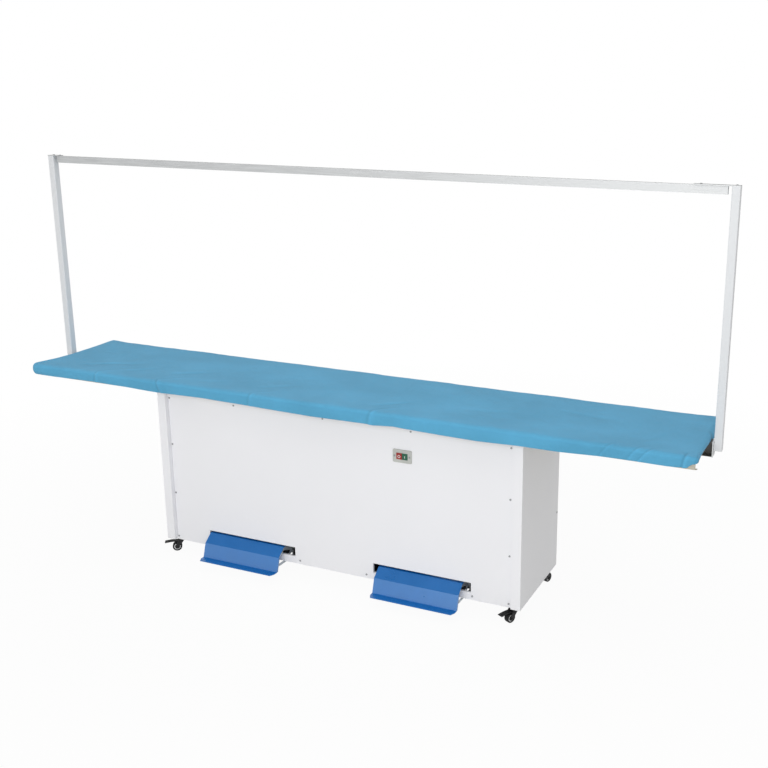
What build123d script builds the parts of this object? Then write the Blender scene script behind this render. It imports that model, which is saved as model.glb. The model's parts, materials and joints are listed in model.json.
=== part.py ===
from build123d import *
import math
import os

# A vacuum ironing table for curtains, in millimetres.
# X runs along the table, +Y to its back and +Z up. The origin is on the floor, midway between
# the pedals' lips and the back edge of the top, under the middle of the table's length.

# Sheet and fits
sheet = 1.5              # wall of the cabinet, tray and ducts
soft_gap = 0.3           # between a soft solid and its neighbour
running_gap = 0.05       # radial clearance of a shaft in its bearing
hole_gap = 0.1           # radial clearance of a screw or bolt in its hole
slide_gap = 0.25         # each side of a push button

# Top
bed_length = 3000.0      # over the cover
bed_depth = 492.0
bed_height = 816.0       # ironing surface above the floor
bed_thickness = 48.0
bed_overhang = 34.0      # of the cover in front of the cabinet
cover_cloth = 2.5
cover_gap = 0.5          # between the skirt and the tray's wall
cover_roll = 12.0        # radius of the soft top edge
cover_corner = 14.0
hem_lift = 1.0           # the hem stops this far above the tray's bottom
bare_corner = (2.0, 34.0)  # length over which the skirt rises to its left and right end's short hem
end_hem = 31.0           # that hem above the tray's bottom
crease_depth = 1.0       # of the skirt's vertical creases
crease_x = (-1150.0, -825.0, -346.0, 217.0, 1159.0, 1258.0, 1320.0)
tray_height = 39.0
tray_lip = 15.0          # flange turned in round the tray's mouth
end_bay = 112.0          # each end of the tray is thin over this length
end_step = 30.0          # its floor is raised this much there
edge_return = 12.0       # flange turned in under the front and back walls of a thin end
plate_inset = 6.0        # perforated plate inside the tray's edge
felt_inset = 8.0
suction_hole = 5.0       # radius of a hole in the perforated plate
suction_pitch_x = 92.0
suction_pitch_y = 76.0
rib_count = 7
rib_spacing = 360.0
rib_width = 24.0

# Cabinet
cabinet_width = 1690.0
cabinet_depth = 438.0
corner_width = 40.0      # folded front face of each side panel
panel_recess = 20.0      # front panel behind the corner faces
lip_width = 22.0         # lip behind the front panel
back_flange = 22.0
top_flange = 25.0
panel_gap = 0.5
panel_drop = 5.5         # front panel below the cabinet's bottom
rail_height = 50.0       # box rails under the top
rail_depth = 20.0
pan_flange = 20.0

# Screws and bolts
screw_r = 1.75
screw_head_r = 4.0
screw_head = 2.2
screw_length = 8.0
bolt_r = 3.0
bolt_head_r = 5.8
bolt_head = 4.0
nut = 5.0
bed_bolt_shares = (0.25, 0.5, 0.75)      # along the cabinet's depth
top_screw_x = (-465.0, -32.0, 367.0)
bottom_screw_x = (-165.0, 156.0, 634.0)
left_screw_rise = (218.0, 445.0, 656.0)   # heights above the cabinet's bottom
right_screw_rise = (214.0, 449.0, 658.0)
left_screw_inset = 46.5
right_screw_inset = 55.0
bottom_screw_rise = 16.0                  # above the front panel's lower edge
top_screw_drop = 32.0                     # below the cabinet's top
side_screw_inset = 12.0                   # from the cabinet's back
side_screw_rise = 245.0                   # above the cabinet's bottom

# Switch
switch_x = 330.0
switch_z = 629.0
switch_width = 83.0
switch_height = 54.0
switch_plate_t = 5.0
switch_corner = 5.0
switch_edge = 1.2        # rounding of the plate's and the buttons' front edges
switch_window_w = 50.0
switch_window_h = 27.0
switch_screw_spacing = 66.0
button_travel = 3.0
button_proud = 1.5
button_length = 18.0
switch_box_depth = 40.0
switch_box_margin = 4.0  # box wall round the window

# Pedals
slot_centre = 408.0      # of each slot from the table's middle
slot_width = 440.0
slot_low = 98.0
slot_high = 139.5
slot_flange = 8.0        # depth of the rim turned in round the slot
pedal_width = 378.0
pedal_shift = (-25.0, -4.0)   # left and right pedal off their slots' centres
pedal_sheet = 2.0
pedal_reach = 77.0       # lip in front of the cabinet's corner faces
shin_reach = 40.0
knee_reach = 22.0
knee_height = 98.0
toe_height = 39.5
pedal_top_gap = 8.5      # flange under the slot's upper edge
pedal_flange = 40.0      # the face's upper edge, turned back into the cabinet
pedal_return = 8.0       # depth of the turned ends of the pedal's middle plane
lip_bevel = 10.0
pedal_press = 9.5        # degrees of pedal travel
pivot_depth = 90.0       # pivot behind the corner faces
pivot_height = 100.0
pivot_r = 10.0
hub_wall = 4.0
arm_sheet = 3.0
arm_inset = 6.0
arm_bar = 10.0           # height of the bar that passes under the front panel
arm_clear = 2.5          # that bar below the front panel's edge
arm_lift = 13.0          # arm's upper strip above the slot's lower edge
arm_straight = 30.0      # that strip runs level this far behind the corner faces
arm_gap = 3.0            # arm's front cheek ahead of the front panel
bar_front = 5.0          # the bar's bends, in front of and behind the corner faces
bar_back = 45.0
bracket_sheet = 4.0
bracket_gap = 6.0        # pivot bracket beside the pedal
lever_length = 114.0
lever_sheet = 4.0
lever_x = 580.0          # inner face of each rear lever from the middle

# Push rods
rod_r = 4.0
pin_r = 3.0
eye_sheet = 4.0
eye_gap = 2.0            # between a lever's face and the rod's eye
eye_half = 12.0
pin_gap = 0.5            # above and below a pin in its slot
pin_swing = 1.0          # slot longer than the pin's swing at each end
collar_r = 10.0
collar = 4.0
spring_length = 75.0
spring_r = 7.5
spring_wire = 0.9
spring_turns = 9
guide_height = 20.0
guide_drop = 65.0        # guide's foot below the trunk's top

# Duct and dampers
trunk_half = 560.0       # half length of the duct
trunk_low = 560.0
trunk_high = 660.0
duct_depth = 140.0
riser_width = 160.0
drop_width = 120.0
drop_x = -10.0           # left side of the drop
drop_low = 240.0
damper_height = 700.0
damper_shaft_r = 5.0
damper_gap = 1.5
damper_sheet = 2.0
damper_half_turn = 35.0  # degrees either side of level for the damper's crank
bush_wall = 4.0
bush_length = 4.0

# Fan and motor
fan_height = 330.0
fan_width = 100.0
fan_small_r = 130.0      # first quarter of the scroll
fan_growth = 15.0        # each quarter's radius over the one before
fan_throat = 87.5
grille_rim = 5.0
grille_slots = 7
impeller_r = 110.0
impeller_eye_r = 65.0     # inlet of the fan and its wheel
impeller_width = 72.0
impeller_hub_r = 22.0
blade_count = 10
blade_sheet = 1.5
blade_lean = 30.0
motor_shaft_r = 7.0
motor_r = 70.0
motor_length = 168.0
motor_flange = 6.0
motor_foot = 7.0         # thickness of the motor's foot
motor_flange_r = 59.5
motor_bell_r = 63.0
motor_bell = 34.0        # length of the end bell
terminal_start = 42.0    # terminal box behind the flange
terminal_length = 42.0
terminal_width = 70.0
terminal_high = 94.5     # its lid above the shaft
foot_start = 21.0        # feet behind the flange
foot_length = 96.6
foot_width = 112.0
foot_web = 28.0          # height of the foot's web
stand_sheet = 4.0
stand_foot = 30.0
stand_width = 140.0

# Gantry
post = 30.0
post_wall = 2.0
post_gap = 13.0          # between the top's end and the post
post_drop = 4.0          # post below the tray
post_bolt_rise = (7.0, 22.0)   # bolts above the post's lower end
post_corner = 3.0
rail_top = 1724.0
rail_size = 30.0
rail_thin = 18.0
rail_slot = 8.0
rail_wall = 1.5
rail_gap_left = 10.0
rail_gap_right = 15.0
strap = 3.0
strap_left = 60.0
strap_right = 165.0
strap_screw_inset = (9.0, 25.0)   # inner screw of the left and right strap from its end
bracket_channel = 56.0   # height of the channel under the thin end
bracket_run = 105.0
bracket_edge = 6.0       # end plate past the channel, at the front and the back
bracket_width = 50.0
bracket_plate = 3.0
bracket_bolt_inset = 25.0
bracket_rise = 35.0      # end plate above the tray's bottom

# Casters
caster_height = 72.0
caster_inset_x = 40.0
caster_inset_y = 54.0
caster_plate = 60.0
caster_plate_t = 2.5
caster_bolt = 21.5       # bolts off the swivel axis, each way
race_r = 18.0
race_height = 5.5
kingpin_r = 4.0
kingpin_head_r = 7.0
crown_r = 20.0
fork_sheet = 2.5
fork_inner = 27.0
wheel_r = 20.5
wheel_width = 22.0
tyre_depth = 6.0
axle_r = 4.0
hub_gap = 0.5            # wheel's hub beside the fork's legs
trail = 28.0
leg_top = (12.0, 16.0)   # fork's leg behind and ahead of the kingpin, at its crown
leg_foot = (6.0, 8.0)    # and round the axle
leg_round = 7.0          # leg below the axle
hub_dish = 2.5
tread_round = 3.0
lever_reach = 80.0
brake_pin_r = 2.5
brake_sheet = 2.5
brake_back = 10.0        # brake's pin behind the axle
brake_rise = 4.0         # and above the wheel
brake_flat = 34.0        # level part of the toe lever ahead of its pin
brake_tail = 6.0
brake_dip = 3.0         # fall of the lever's toe
shoe_half = 3.0
front_left_turn = 217.0  # heading of each caster's wheel, in degrees from +X
front_right_turn = 242.0
back_right_turn = 72.0
back_left_turn = 130.0

# Cooling slots in the back panel
vent_width = 90.0
vent_height = 6.0
vent_pitch = 16.0
vent_columns = 3
vent_rows = 8

# Cable inlet
gland_inset = 245.0      # in from the cabinet's end
gland_z = 150.0
gland_bore = 5.0
gland_out = 18.0
gland_in = 8.0
gland_r = 11.0
gland_neck_r = 8.0       # neck through the back panel
gland_cap_r = 8.8        # outer end of the gland

# Worked out places
front = pedal_reach - (pedal_reach + bed_depth - bed_overhang) / 2
back = front + cabinet_depth
bed_front = front - bed_overhang
bed_mid = bed_front + bed_depth / 2
bottom = caster_height
top = bed_height - bed_thickness
half = cabinet_width / 2
gland_x = half - gland_inset
panel_face = front + panel_recess
panel_back = panel_face + sheet
inner_back = back - 2 * sheet
panel_low = bottom - panel_drop
panel_half = half - corner_width - panel_gap
tray_length = bed_length - 2 * (cover_cloth + cover_gap)
tray_depth = bed_depth - 2 * (cover_cloth + cover_gap)
tray_corner = cover_corner - cover_cloth - cover_gap
tray_top = top + tray_height
bay_low = top + end_step
plate_top = tray_top + sheet
cover_under = bed_height - cover_cloth
duct_front = front + (cabinet_depth - duct_depth) / 2
duct_back = duct_front + duct_depth
duct_mid = (duct_front + duct_back) / 2
pivot_y = front + pivot_depth
lever_y = pivot_y + lever_length
rod_travel = lever_length * math.sin(math.radians(pedal_press))
crank_r = rod_travel / (2 * math.sin(math.radians(damper_half_turn)))
crank_y = duct_mid - crank_r * math.cos(math.radians(damper_half_turn))
crank_z = damper_height - crank_r * math.sin(math.radians(damper_half_turn))
eye_x = lever_x + lever_sheet + eye_gap
rod_x = eye_x + eye_sheet / 2
guide_low = trunk_high - guide_drop
spring_low = guide_low - spring_length
post_x = bed_length / 2 + post_gap
post_y = front + (cabinet_depth - post) / 2
post_low = top - post_drop
fan_x = drop_x + drop_width
fan_y = duct_mid
casters = {
    "fl": (-1, front + caster_inset_y, front_left_turn),
    "fr": (1, front + caster_inset_y, front_right_turn),
    "bl": (-1, back - caster_inset_y, back_left_turn),
    "br": (1, back - caster_inset_y, back_right_turn),
}


def slab(x0, x1, y0, y1, z0, z1):
    """A box between two corners."""
    place = Pos((x0 + x1) / 2, (y0 + y1) / 2, (z0 + z1) / 2)
    return place * Box(abs(x1 - x0), abs(y1 - y0), abs(z1 - z0))


def rod_along_x(r, x0, x1, y, z):
    return Pos((x0 + x1) / 2, y, z) * Rot(0, 90, 0) * Cylinder(r, abs(x1 - x0))


def rod_along_y(r, x, y0, y1, z):
    return Pos(x, (y0 + y1) / 2, z) * Rot(90, 0, 0) * Cylinder(r, abs(y1 - y0))


def rod_along_z(r, x, y, z0, z1):
    return Pos(x, y, (z0 + z1) / 2) * Cylinder(r, abs(z1 - z0))


def side_profile(points, x0, x1):
    """A plate cut to an outline in the YZ plane, from x0 to x1."""
    face = make_face(Polyline(*points, close=True))
    return extrude(Plane.YZ.offset(min(x0, x1)) * face, abs(x1 - x0))


def folded(points, thickness):
    """The outline of a bent sheet whose outer face follows the points."""
    normals = []
    for (y0, z0), (y1, z1) in zip(points, points[1:]):
        run = math.dist((y0, z0), (y1, z1))
        normals.append(((z0 - z1) / run, (y1 - y0) / run))
    inner = []
    for i, (y, z) in enumerate(points):
        a = normals[max(i - 1, 0)]
        b = normals[min(i, len(normals) - 1)]
        mitre = thickness / (1 + a[0] * b[0] + a[1] * b[1])
        inner.append((y + (a[0] + b[0]) * mitre, z + (a[1] + b[1]) * mitre))
    return list(points) + inner[::-1]


def write(name, *solids):
    """Write one node; several solids stay separate."""
    shape = solids[0] if len(solids) == 1 else Compound(children=list(solids))
    export_step(shape, f"parts/{name}.step")


def screw(place):
    """A pan head screw; its head stands along -Z of the place and its shank runs along +Z."""
    head = Pos(0, 0, -screw_head / 2) * Cylinder(screw_head_r, screw_head)
    head = chamfer(head.edges().sort_by(Axis.Z)[0], screw_head / 3)
    shank = Pos(0, 0, screw_length / 2) * Cylinder(screw_r, screw_length)
    return place * (head + shank)


def bolt(place, grip):
    """A hex bolt with its nut; the head stands along -Z of the place."""
    head = extrude(RegularPolygon(bolt_head_r, 6), -bolt_head)
    shank = Pos(0, 0, grip / 2) * Cylinder(bolt_r, grip)
    far = Pos(0, 0, grip) * extrude(RegularPolygon(bolt_head_r, 6), nut)
    return place * (head + shank + far)


def front_screw_points():
    """X and Z of every screw in the front panel."""
    left = -half + left_screw_inset
    right = half - right_screw_inset
    high = top - top_screw_drop
    low = panel_low + bottom_screw_rise
    points = [(x, high) for x in top_screw_x]
    points += [(x, low) for x in bottom_screw_x]
    points += [(left, low), (right, low)]
    points += [(left, bottom + rise) for rise in left_screw_rise]
    points += [(right, bottom + rise) for rise in right_screw_rise]
    return points


def front_screw_holes():
    holes = Compound(children=[
        rod_along_y(screw_r + hole_gap, x, panel_face - 1, panel_back + 5, z)
        for x, z in front_screw_points()
    ])
    return holes


def inward(side, a, b, y0, y1, z0, z1):
    """A slab between a and b inside the cabinet's end face on that side."""
    return slab(side * (half - a), side * (half - b), y0, y1, z0, z1)


def bed_bolt_places(side):
    x = side * (half - top_flange / 2 - sheet)
    return [(x, front + cabinet_depth * share) for share in bed_bolt_shares]


def side_panel(side):
    """End wall of the cabinet and its folds, as flat strips that meet edge to edge."""
    rail_low = top - rail_height
    wall = inward(side, 0, sheet, front, back, bottom, top)
    wall -= rod_along_x(screw_r + hole_gap, side * (half - 3 * sheet), side * (half + 1),
                        back - side_screw_inset, bottom + side_screw_rise)
    face = inward(side, sheet, corner_width, front, front + sheet, bottom, top)
    turn = inward(side, corner_width - sheet, corner_width, front + sheet, panel_back, bottom, top)
    lip = inward(side, corner_width - sheet, corner_width + lip_width, panel_back,
                 panel_back + sheet, bottom + sheet, rail_low)
    lip -= front_screw_holes()
    rear = inward(side, sheet, back_flange, back - sheet, back, bottom, top)
    shelf = inward(side, sheet, top_flange, panel_back + rail_depth + panel_gap,
                   inner_back - rail_depth - panel_gap, top - sheet, top)
    for x, y in bed_bolt_places(side):
        shelf -= rod_along_z(bolt_r + hole_gap, x, y, top - 2 * sheet, top + 1)
    return wall, face, turn, lip, rear, shelf


def slot_box(side, margin, y0, y1):
    """The space of one pedal slot, grown by the margin in the panel's plane."""
    mid = side * slot_centre
    return slab(mid - slot_width / 2 - margin, mid + slot_width / 2 + margin, y0, y1,
                slot_low - margin, slot_high + margin)


def front_panel():
    """The recessed front with its two pedal slots, their turned rims and the switch's cut-out."""
    panel = slab(-panel_half, panel_half, panel_face, panel_back, panel_low, top)
    for side in (-1, 1):
        rim = slot_box(side, sheet, panel_back, panel_back + slot_flange)
        panel += rim
        panel -= slot_box(side, 0, panel_face - 1, panel_back + slot_flange + 1)
    panel -= slab(switch_x - switch_window_w / 2 - switch_box_margin,
                  switch_x + switch_window_w / 2 + switch_box_margin,
                  panel_face - 1, panel_back + 1,
                  switch_z - switch_window_h / 2 - switch_box_margin,
                  switch_z + switch_window_h / 2 + switch_box_margin)
    panel -= switch_screw_holes()
    return panel - front_screw_holes()


def back_panel():
    """Rear sheet with cooling slots and the cable gland's hole, and its two turned edges."""
    rail_low = top - rail_height
    panel = slab(-half + sheet, half - sheet, inner_back, inner_back + sheet, bottom, top)
    edges = []
    for side in (-1, 1):
        edge = inward(side, sheet, 2 * sheet, inner_back - rail_depth, inner_back,
                      bottom + sheet, rail_low)
        hole = rod_along_x(screw_r + hole_gap, side * (half - 4 * sheet), side * (half + 1),
                           back - side_screw_inset, bottom + side_screw_rise)
        edges.append(edge - hole)
    for column in range(vent_columns):
        for row in range(vent_rows):
            x = motor_mid_x() + (column - (vent_columns - 1) / 2) * (vent_width + vent_pitch)
            z = fan_height + (row - (vent_rows - 1) / 2) * vent_pitch
            panel -= slab(x - vent_width / 2, x + vent_width / 2, inner_back - 1,
                          inner_back + sheet + 1, z - vent_height / 2, z + vent_height / 2)
    gland_hole = rod_along_y(gland_neck_r + hole_gap, gland_x, inner_back - 1,
                             inner_back + sheet + 1, gland_z)
    return panel - gland_hole, *edges


def motor_mid_x():
    return fan_x + fan_width + motor_flange + motor_length / 2


def arm_places(side):
    """The two arm plates' inner and outer X of one pedal."""
    mid = side * slot_centre + pedal_shift[0 if side < 0 else 1]
    low, high = mid - pedal_width / 2, mid + pedal_width / 2
    return low, high


def base_pan():
    """Floor of the cabinet with arm slots, exhaust and caster holes, and its four turned edges."""
    floor = bottom + sheet
    pan = slab(-half + sheet, half - sheet, panel_back, inner_back, bottom, floor)
    high = floor + pan_flange
    edge = corner_width + lip_width + panel_gap
    edges = [slab(-half + edge, half - edge, panel_back, panel_back + sheet, floor, high)
             - front_screw_holes(),
             slab(-half + top_flange, half - top_flange, inner_back - sheet, inner_back, floor, high)]
    for side in (-1, 1):
        edges.append(inward(side, sheet, 2 * sheet, panel_back + 2 * rail_depth,
                            inner_back - 2 * rail_depth, floor, high))
        low, far = arm_places(side)
        for x in (low + arm_inset + arm_sheet / 2, far - arm_inset - arm_sheet / 2):
            slot = arm_sheet / 2 + arm_inset
            pan -= slab(x - slot, x + slot, panel_back + 4 * sheet, pivot_y, bottom - 1,
                        bottom + sheet + 1)
    y0, y1 = throat_span()
    pan -= slab(fan_x + sheet, fan_x + fan_width - sheet, y0 + sheet, y1 - sheet, bottom - 1,
                bottom + sheet + 1)
    for x, y in caster_bolt_points():
        pan -= rod_along_z(bolt_r + hole_gap, x, y, bottom - 1, bottom + 2 * sheet)
    return pan, *edges


def top_rails():
    """Box rails along the front and back that carry the top."""
    rails = []
    low = top - rail_height
    for y0, y1 in ((panel_back, panel_back + rail_depth), (inner_back - rail_depth, inner_back)):
        rail = slab(-half + sheet, half - sheet, y0, y1, low, top)
        rail -= slab(-half, half, y0 + sheet, y1 - sheet, low + sheet, top - sheet)
        if y0 == panel_back:
            for side in (-1, 1):
                rail -= inward(side, 0, corner_width, front, panel_back, low, top)
            rail -= front_screw_holes()
        rails.append(rail)
    return rails


def panel_screws():
    screws = [screw(Pos(x, panel_face, z) * Rot(-90, 0, 0)) for x, z in front_screw_points()]
    z = bottom + side_screw_rise
    for side in (-1, 1):
        turn = Rot(0, -90 * side, 0)
        screws.append(screw(Pos(side * half, back - side_screw_inset, z) * turn))
    for x, y in strap_screw_points():
        screws.append(screw(Pos(x, y, rail_top + strap) * Rot(180, 0, 0)))
    return screws


def rounded_block(length, depth, corner, z0, z1):
    face = RectangleRounded(length, depth, corner)
    return Pos(0, bed_mid, z0) * extrude(face, z1 - z0)


def tray():
    """Open tray under the ironing surface, with a lip round its mouth and two duct openings."""
    length, depth = tray_length - 2 * sheet, tray_depth - 2 * sheet
    body = rounded_block(tray_length, tray_depth, tray_corner, top, tray_top)
    body -= rounded_block(length, depth, tray_corner - sheet, top + sheet, tray_top - sheet)
    body -= rounded_block(length - 2 * tray_lip, depth - 2 * tray_lip, tray_corner - sheet,
                          tray_top - 2 * sheet, tray_top + 1)
    for side in (-1, 1):
        x0, x1 = riser_span(side)
        body -= slab(x0 + sheet, x1 - sheet, duct_front + sheet, duct_back - sheet, top - 1,
                     top + 2 * sheet)
        body = body - end_room(side) + end_floor(side)
        for x, y in bed_bolt_places(side):
            body -= rod_along_z(bolt_r + hole_gap, x, y, top - 1, top + 2 * sheet)
        for x, y in bracket_bolt_places(side):
            body -= rod_along_z(bolt_r + hole_gap, x, y, bay_low - 1, bay_low + 2 * sheet)
    return body


def end_room(side):
    """What a thin end leaves open under its floor, between the front and back walls."""
    x0, x1 = side * (tray_length / 2 - end_bay), side * (tray_length / 2 + 1)
    wall = tray_depth / 2 - sheet
    room = slab(x0, x1, bed_mid - wall, bed_mid + wall, top + sheet, bay_low)
    return room + slab(x0, x1, bed_mid - wall + edge_return, bed_mid + wall - edge_return,
                       top - 1, top + 2 * sheet)


def end_floor(side):
    """The raised floor of a thin end and the step down to the deep part."""
    x0, x1 = side * (tray_length / 2 - end_bay), side * (tray_length / 2 - tray_corner)
    wall = tray_depth / 2 - sheet
    floor = slab(x0, side * (tray_length / 2 - sheet), bed_mid - wall, bed_mid + wall, bay_low,
                 bay_low + sheet) & rounded_block(tray_length, tray_depth, tray_corner, top, tray_top)
    return floor + slab(x0, x0 - side * sheet, bed_mid - wall, bed_mid + wall, top,
                        bay_low + sheet)


def tray_ribs():
    """Channels across the tray that hold the perforated plate up."""
    ribs = []
    reach = tray_depth / 2 - sheet - tray_lip - 1
    low, high = top + sheet, tray_top
    for i in range(rib_count):
        x = (i - (rib_count - 1) / 2) * rib_spacing
        rib = slab(x - rib_width / 2, x + rib_width / 2, bed_mid - reach, bed_mid + reach, low, high)
        rib -= slab(x - rib_width / 2 + sheet, x + rib_width / 2 + 1, bed_mid - reach - 1,
                    bed_mid + reach + 1, low + sheet, high - sheet)
        ribs.append(rib)
    return ribs


def perforated_plate():
    length, depth = tray_length - 2 * plate_inset, tray_depth - 2 * plate_inset
    columns = int((length - suction_pitch_x) // suction_pitch_x)
    rows = int((depth - suction_pitch_y / 2) // suction_pitch_y)
    face = RectangleRounded(length, depth, tray_corner - plate_inset / 2)
    face -= GridLocations(suction_pitch_x, suction_pitch_y, columns, rows) * Circle(suction_hole)
    return Pos(0, bed_mid, tray_top) * extrude(face, sheet)


def felt_pad():
    low, high = plate_top + soft_gap, cover_under - soft_gap
    return rounded_block(tray_length - 2 * felt_inset, tray_depth - 2 * felt_inset,
                         tray_corner - plate_inset / 2, low, high)


def cover():
    """Top panel of the fitted cloth, inside the skirt's rolled edge."""
    return rounded_block(bed_length - 2 * cover_roll, bed_depth - 2 * cover_roll,
                         cover_corner - cover_roll, cover_under, bed_height)


def cover_skirt():
    """The cloth's soft rolled edge and short skirt with its creases, sewn to the top panel."""
    hem = top + hem_lift
    outer = rounded_block(bed_length, bed_depth, cover_corner, hem, bed_height)
    outer = fillet(outer.faces().sort_by(Axis.Z)[-1].edges(), cover_roll)
    inner = rounded_block(bed_length - 2 * cover_cloth, bed_depth - 2 * cover_cloth,
                          cover_corner - cover_cloth, hem - 1, cover_under)
    inner = fillet(inner.faces().sort_by(Axis.Z)[-1].edges(), cover_roll - cover_cloth)
    cloth = outer - inner
    cloth -= rounded_block(bed_length - 2 * cover_roll, bed_depth - 2 * cover_roll,
                           cover_corner - cover_roll, cover_under - 1, bed_height + 1)
    for x in crease_x:
        groove = Box(crease_depth * math.sqrt(2), crease_depth * math.sqrt(2), bed_thickness)
        cloth -= Pos(x, bed_front, hem) * Rot(0, 0, 45) * groove
    for side, run in zip((-1, 1), bare_corner):
        cloth -= raised_hem(side, run)
    return cloth


def raised_hem(side, run):
    """What is cut off the skirt where its hem rises to the short hem round one end."""
    end = side * bed_length / 2
    hem = top + hem_lift
    rise = [(end - side * (cover_corner + run), hem - 1), (end + side, hem - 1),
            (end + side, top + end_hem), (end - side * cover_corner, top + end_hem)]
    face = make_face(Polyline(*rise, close=True))
    return extrude(Plane.XZ.offset(-bed_front - bed_depth - 1) * face, bed_depth + 2)


def riser_span(side):
    inner, outer = side * (trunk_half - riser_width), side * trunk_half
    return min(inner, outer), max(inner, outer)


def suction_duct():
    """The trunk with a riser to the tray at each end and a drop to the fan in the middle."""
    shell = slab(-trunk_half, trunk_half, duct_front, duct_back, trunk_low, trunk_high)
    shell += slab(fan_x - drop_width, fan_x, duct_front, duct_back, drop_low, trunk_low)
    hollow = slab(-trunk_half + sheet, trunk_half - sheet, duct_front + sheet, duct_back - sheet,
                  trunk_low + sheet, trunk_high - sheet)
    hollow += slab(fan_x - drop_width + sheet, fan_x - sheet, duct_front + sheet,
                   duct_back - sheet, drop_low + sheet, trunk_low + 2 * sheet)
    for side in (-1, 1):
        x0, x1 = riser_span(side)
        shell += slab(x0, x1, duct_front, duct_back, trunk_high, top)
        hollow += slab(x0 + sheet, x1 - sheet, duct_front + sheet, duct_back - sheet,
                       trunk_high - 2 * sheet, top + 1)
    duct = shell - hollow
    for side in (-1, 1):
        x0, x1 = riser_span(side)
        for x in (x0, x1):
            duct -= rod_along_x(damper_shaft_r + bush_wall, x - bush_length / 2,
                                x + bush_length / 2, duct_mid, damper_height)
    inlet = rod_along_x(impeller_eye_r, fan_x - 2 * sheet, fan_x + 1, fan_y, fan_height)
    return duct - inlet


def damper_bushes():
    bushes = []
    for side in (-1, 1):
        for x in riser_span(side):
            ring = rod_along_x(damper_shaft_r + bush_wall, x - bush_length / 2,
                               x + bush_length / 2, duct_mid, damper_height)
            bushes.append(ring - rod_along_x(damper_shaft_r + running_gap, x - bush_length,
                                             x + bush_length, duct_mid, damper_height))
    return bushes


def damper(side):
    """A flap on its shaft, with the crank that the push rod turns."""
    x0, x1 = riser_span(side)
    clear = bush_length / 2 + damper_gap
    half_flap = duct_depth / 2 - sheet - damper_gap
    flap = slab(x0 + clear, x1 - clear, duct_mid - half_flap, duct_mid + half_flap,
                damper_height - damper_sheet / 2, damper_height + damper_sheet / 2)
    outer, inner = side * (lever_x + lever_sheet), side * (trunk_half - riser_width - bush_length)
    shaft = rod_along_x(damper_shaft_r, inner, outer, duct_mid, damper_height)
    crank = lever_plate(side, (duct_mid, damper_height), (crank_y, crank_z),
                        damper_shaft_r + bush_wall)
    return flap + shaft + crank + eye_pin(side, crank_y, crank_z)


def lever_plate(side, hub, pin, hub_r):
    """A flat lever in the YZ plane from its hub to its pin."""
    x0, x1 = side * lever_x, side * (lever_x + lever_sheet)
    plate = rod_along_x(hub_r, x0, x1, *hub) + rod_along_x(2 * pin_r, x0, x1, *pin)
    run = math.dist(hub, pin)
    across = ((hub[1] - pin[1]) / run, (pin[0] - hub[0]) / run)
    corners = [(p[0] + s * across[0] * w, p[1] + s * across[1] * w)
               for p, w, s in ((hub, hub_r * 0.8, 1), (pin, 1.6 * pin_r, 1),
                               (pin, 1.6 * pin_r, -1), (hub, hub_r * 0.8, -1))]
    return plate + side_profile(corners, x0, x1)


def eye_pin(side, y, z):
    """The pin that stands out of a lever through the rod's eye."""
    return rod_along_x(pin_r, side * lever_x, side * (eye_x + eye_sheet + eye_gap), y, z)


def push_rod(side):
    """Rod from the pedal's rear lever up to the damper's crank, with its spring collar."""
    x0, x1 = side * eye_x, side * (eye_x + eye_sheet)
    low_eye = slab(x0, x1, lever_y - eye_half, lever_y + eye_half, pivot_height - eye_half,
                   pivot_height + eye_half)
    high_eye = slab(x0, x1, lever_y - eye_half, lever_y + eye_half, crank_z - eye_half,
                    crank_z + eye_half)
    bar = rod_along_z(rod_r, side * rod_x, lever_y, pivot_height + eye_half / 2,
                      crank_z - eye_half / 2)
    stop = rod_along_z(collar_r, side * rod_x, lever_y, spring_low - collar, spring_low)
    solid = low_eye + high_eye + bar + stop
    swing = lever_length * (1 - math.cos(math.radians(pedal_press)))
    solid -= eye_slot(side, lever_y - swing - pin_swing, lever_y + pin_swing, pivot_height)
    far = duct_mid - crank_r
    return solid - eye_slot(side, far - pin_swing, crank_y + pin_swing, crank_z)


def eye_slot(side, y0, y1, z):
    """A slot long enough for the pin's sideways travel, with room above and below it."""
    room = pin_r + pin_gap
    x0, x1 = side * (eye_x - 1), side * (eye_x + eye_sheet + 1)
    slot = slab(x0, x1, y0, y1, z - room, z + room)
    return slot + rod_along_x(room, x0, x1, y0, z) + rod_along_x(room, x0, x1, y1, z)


def rod_guides():
    guides = []
    for side in (-1, 1):
        x0, x1 = side * trunk_half, side * (rod_x + 3 * rod_r)
        block = slab(x0, x1, lever_y - 3 * rod_r, lever_y + 3 * rod_r, guide_low,
                     guide_low + guide_height)
        guides.append(block - rod_along_z(rod_r + running_gap, side * rod_x, lever_y,
                                          guide_low - 1, guide_low + guide_height + 1))
    return guides


def return_spring(side):
    """A compression spring round the push rod, between its collar and the guide."""
    height = spring_length - 2 * soft_gap - spring_wire * 2
    path = Helix(height / spring_turns, height, spring_r)
    section = Plane(path @ 0, z_dir=path % 0) * Circle(spring_wire)
    coil = sweep(section, path=path, is_frenet=True)
    return Pos(side * rod_x, lever_y, spring_low + soft_gap + spring_wire) * coil


def pedal_outline():
    """Fold points of the pedal's face, from inside the cabinet out to the lip."""
    high = slot_high - pedal_top_gap
    return [
        (panel_face + pedal_flange, high),
        (panel_face - pedal_sheet, high),
        (front - knee_reach, knee_height),
        (front - shin_reach, toe_height),
        (front - pedal_reach, toe_height),
    ]


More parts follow.
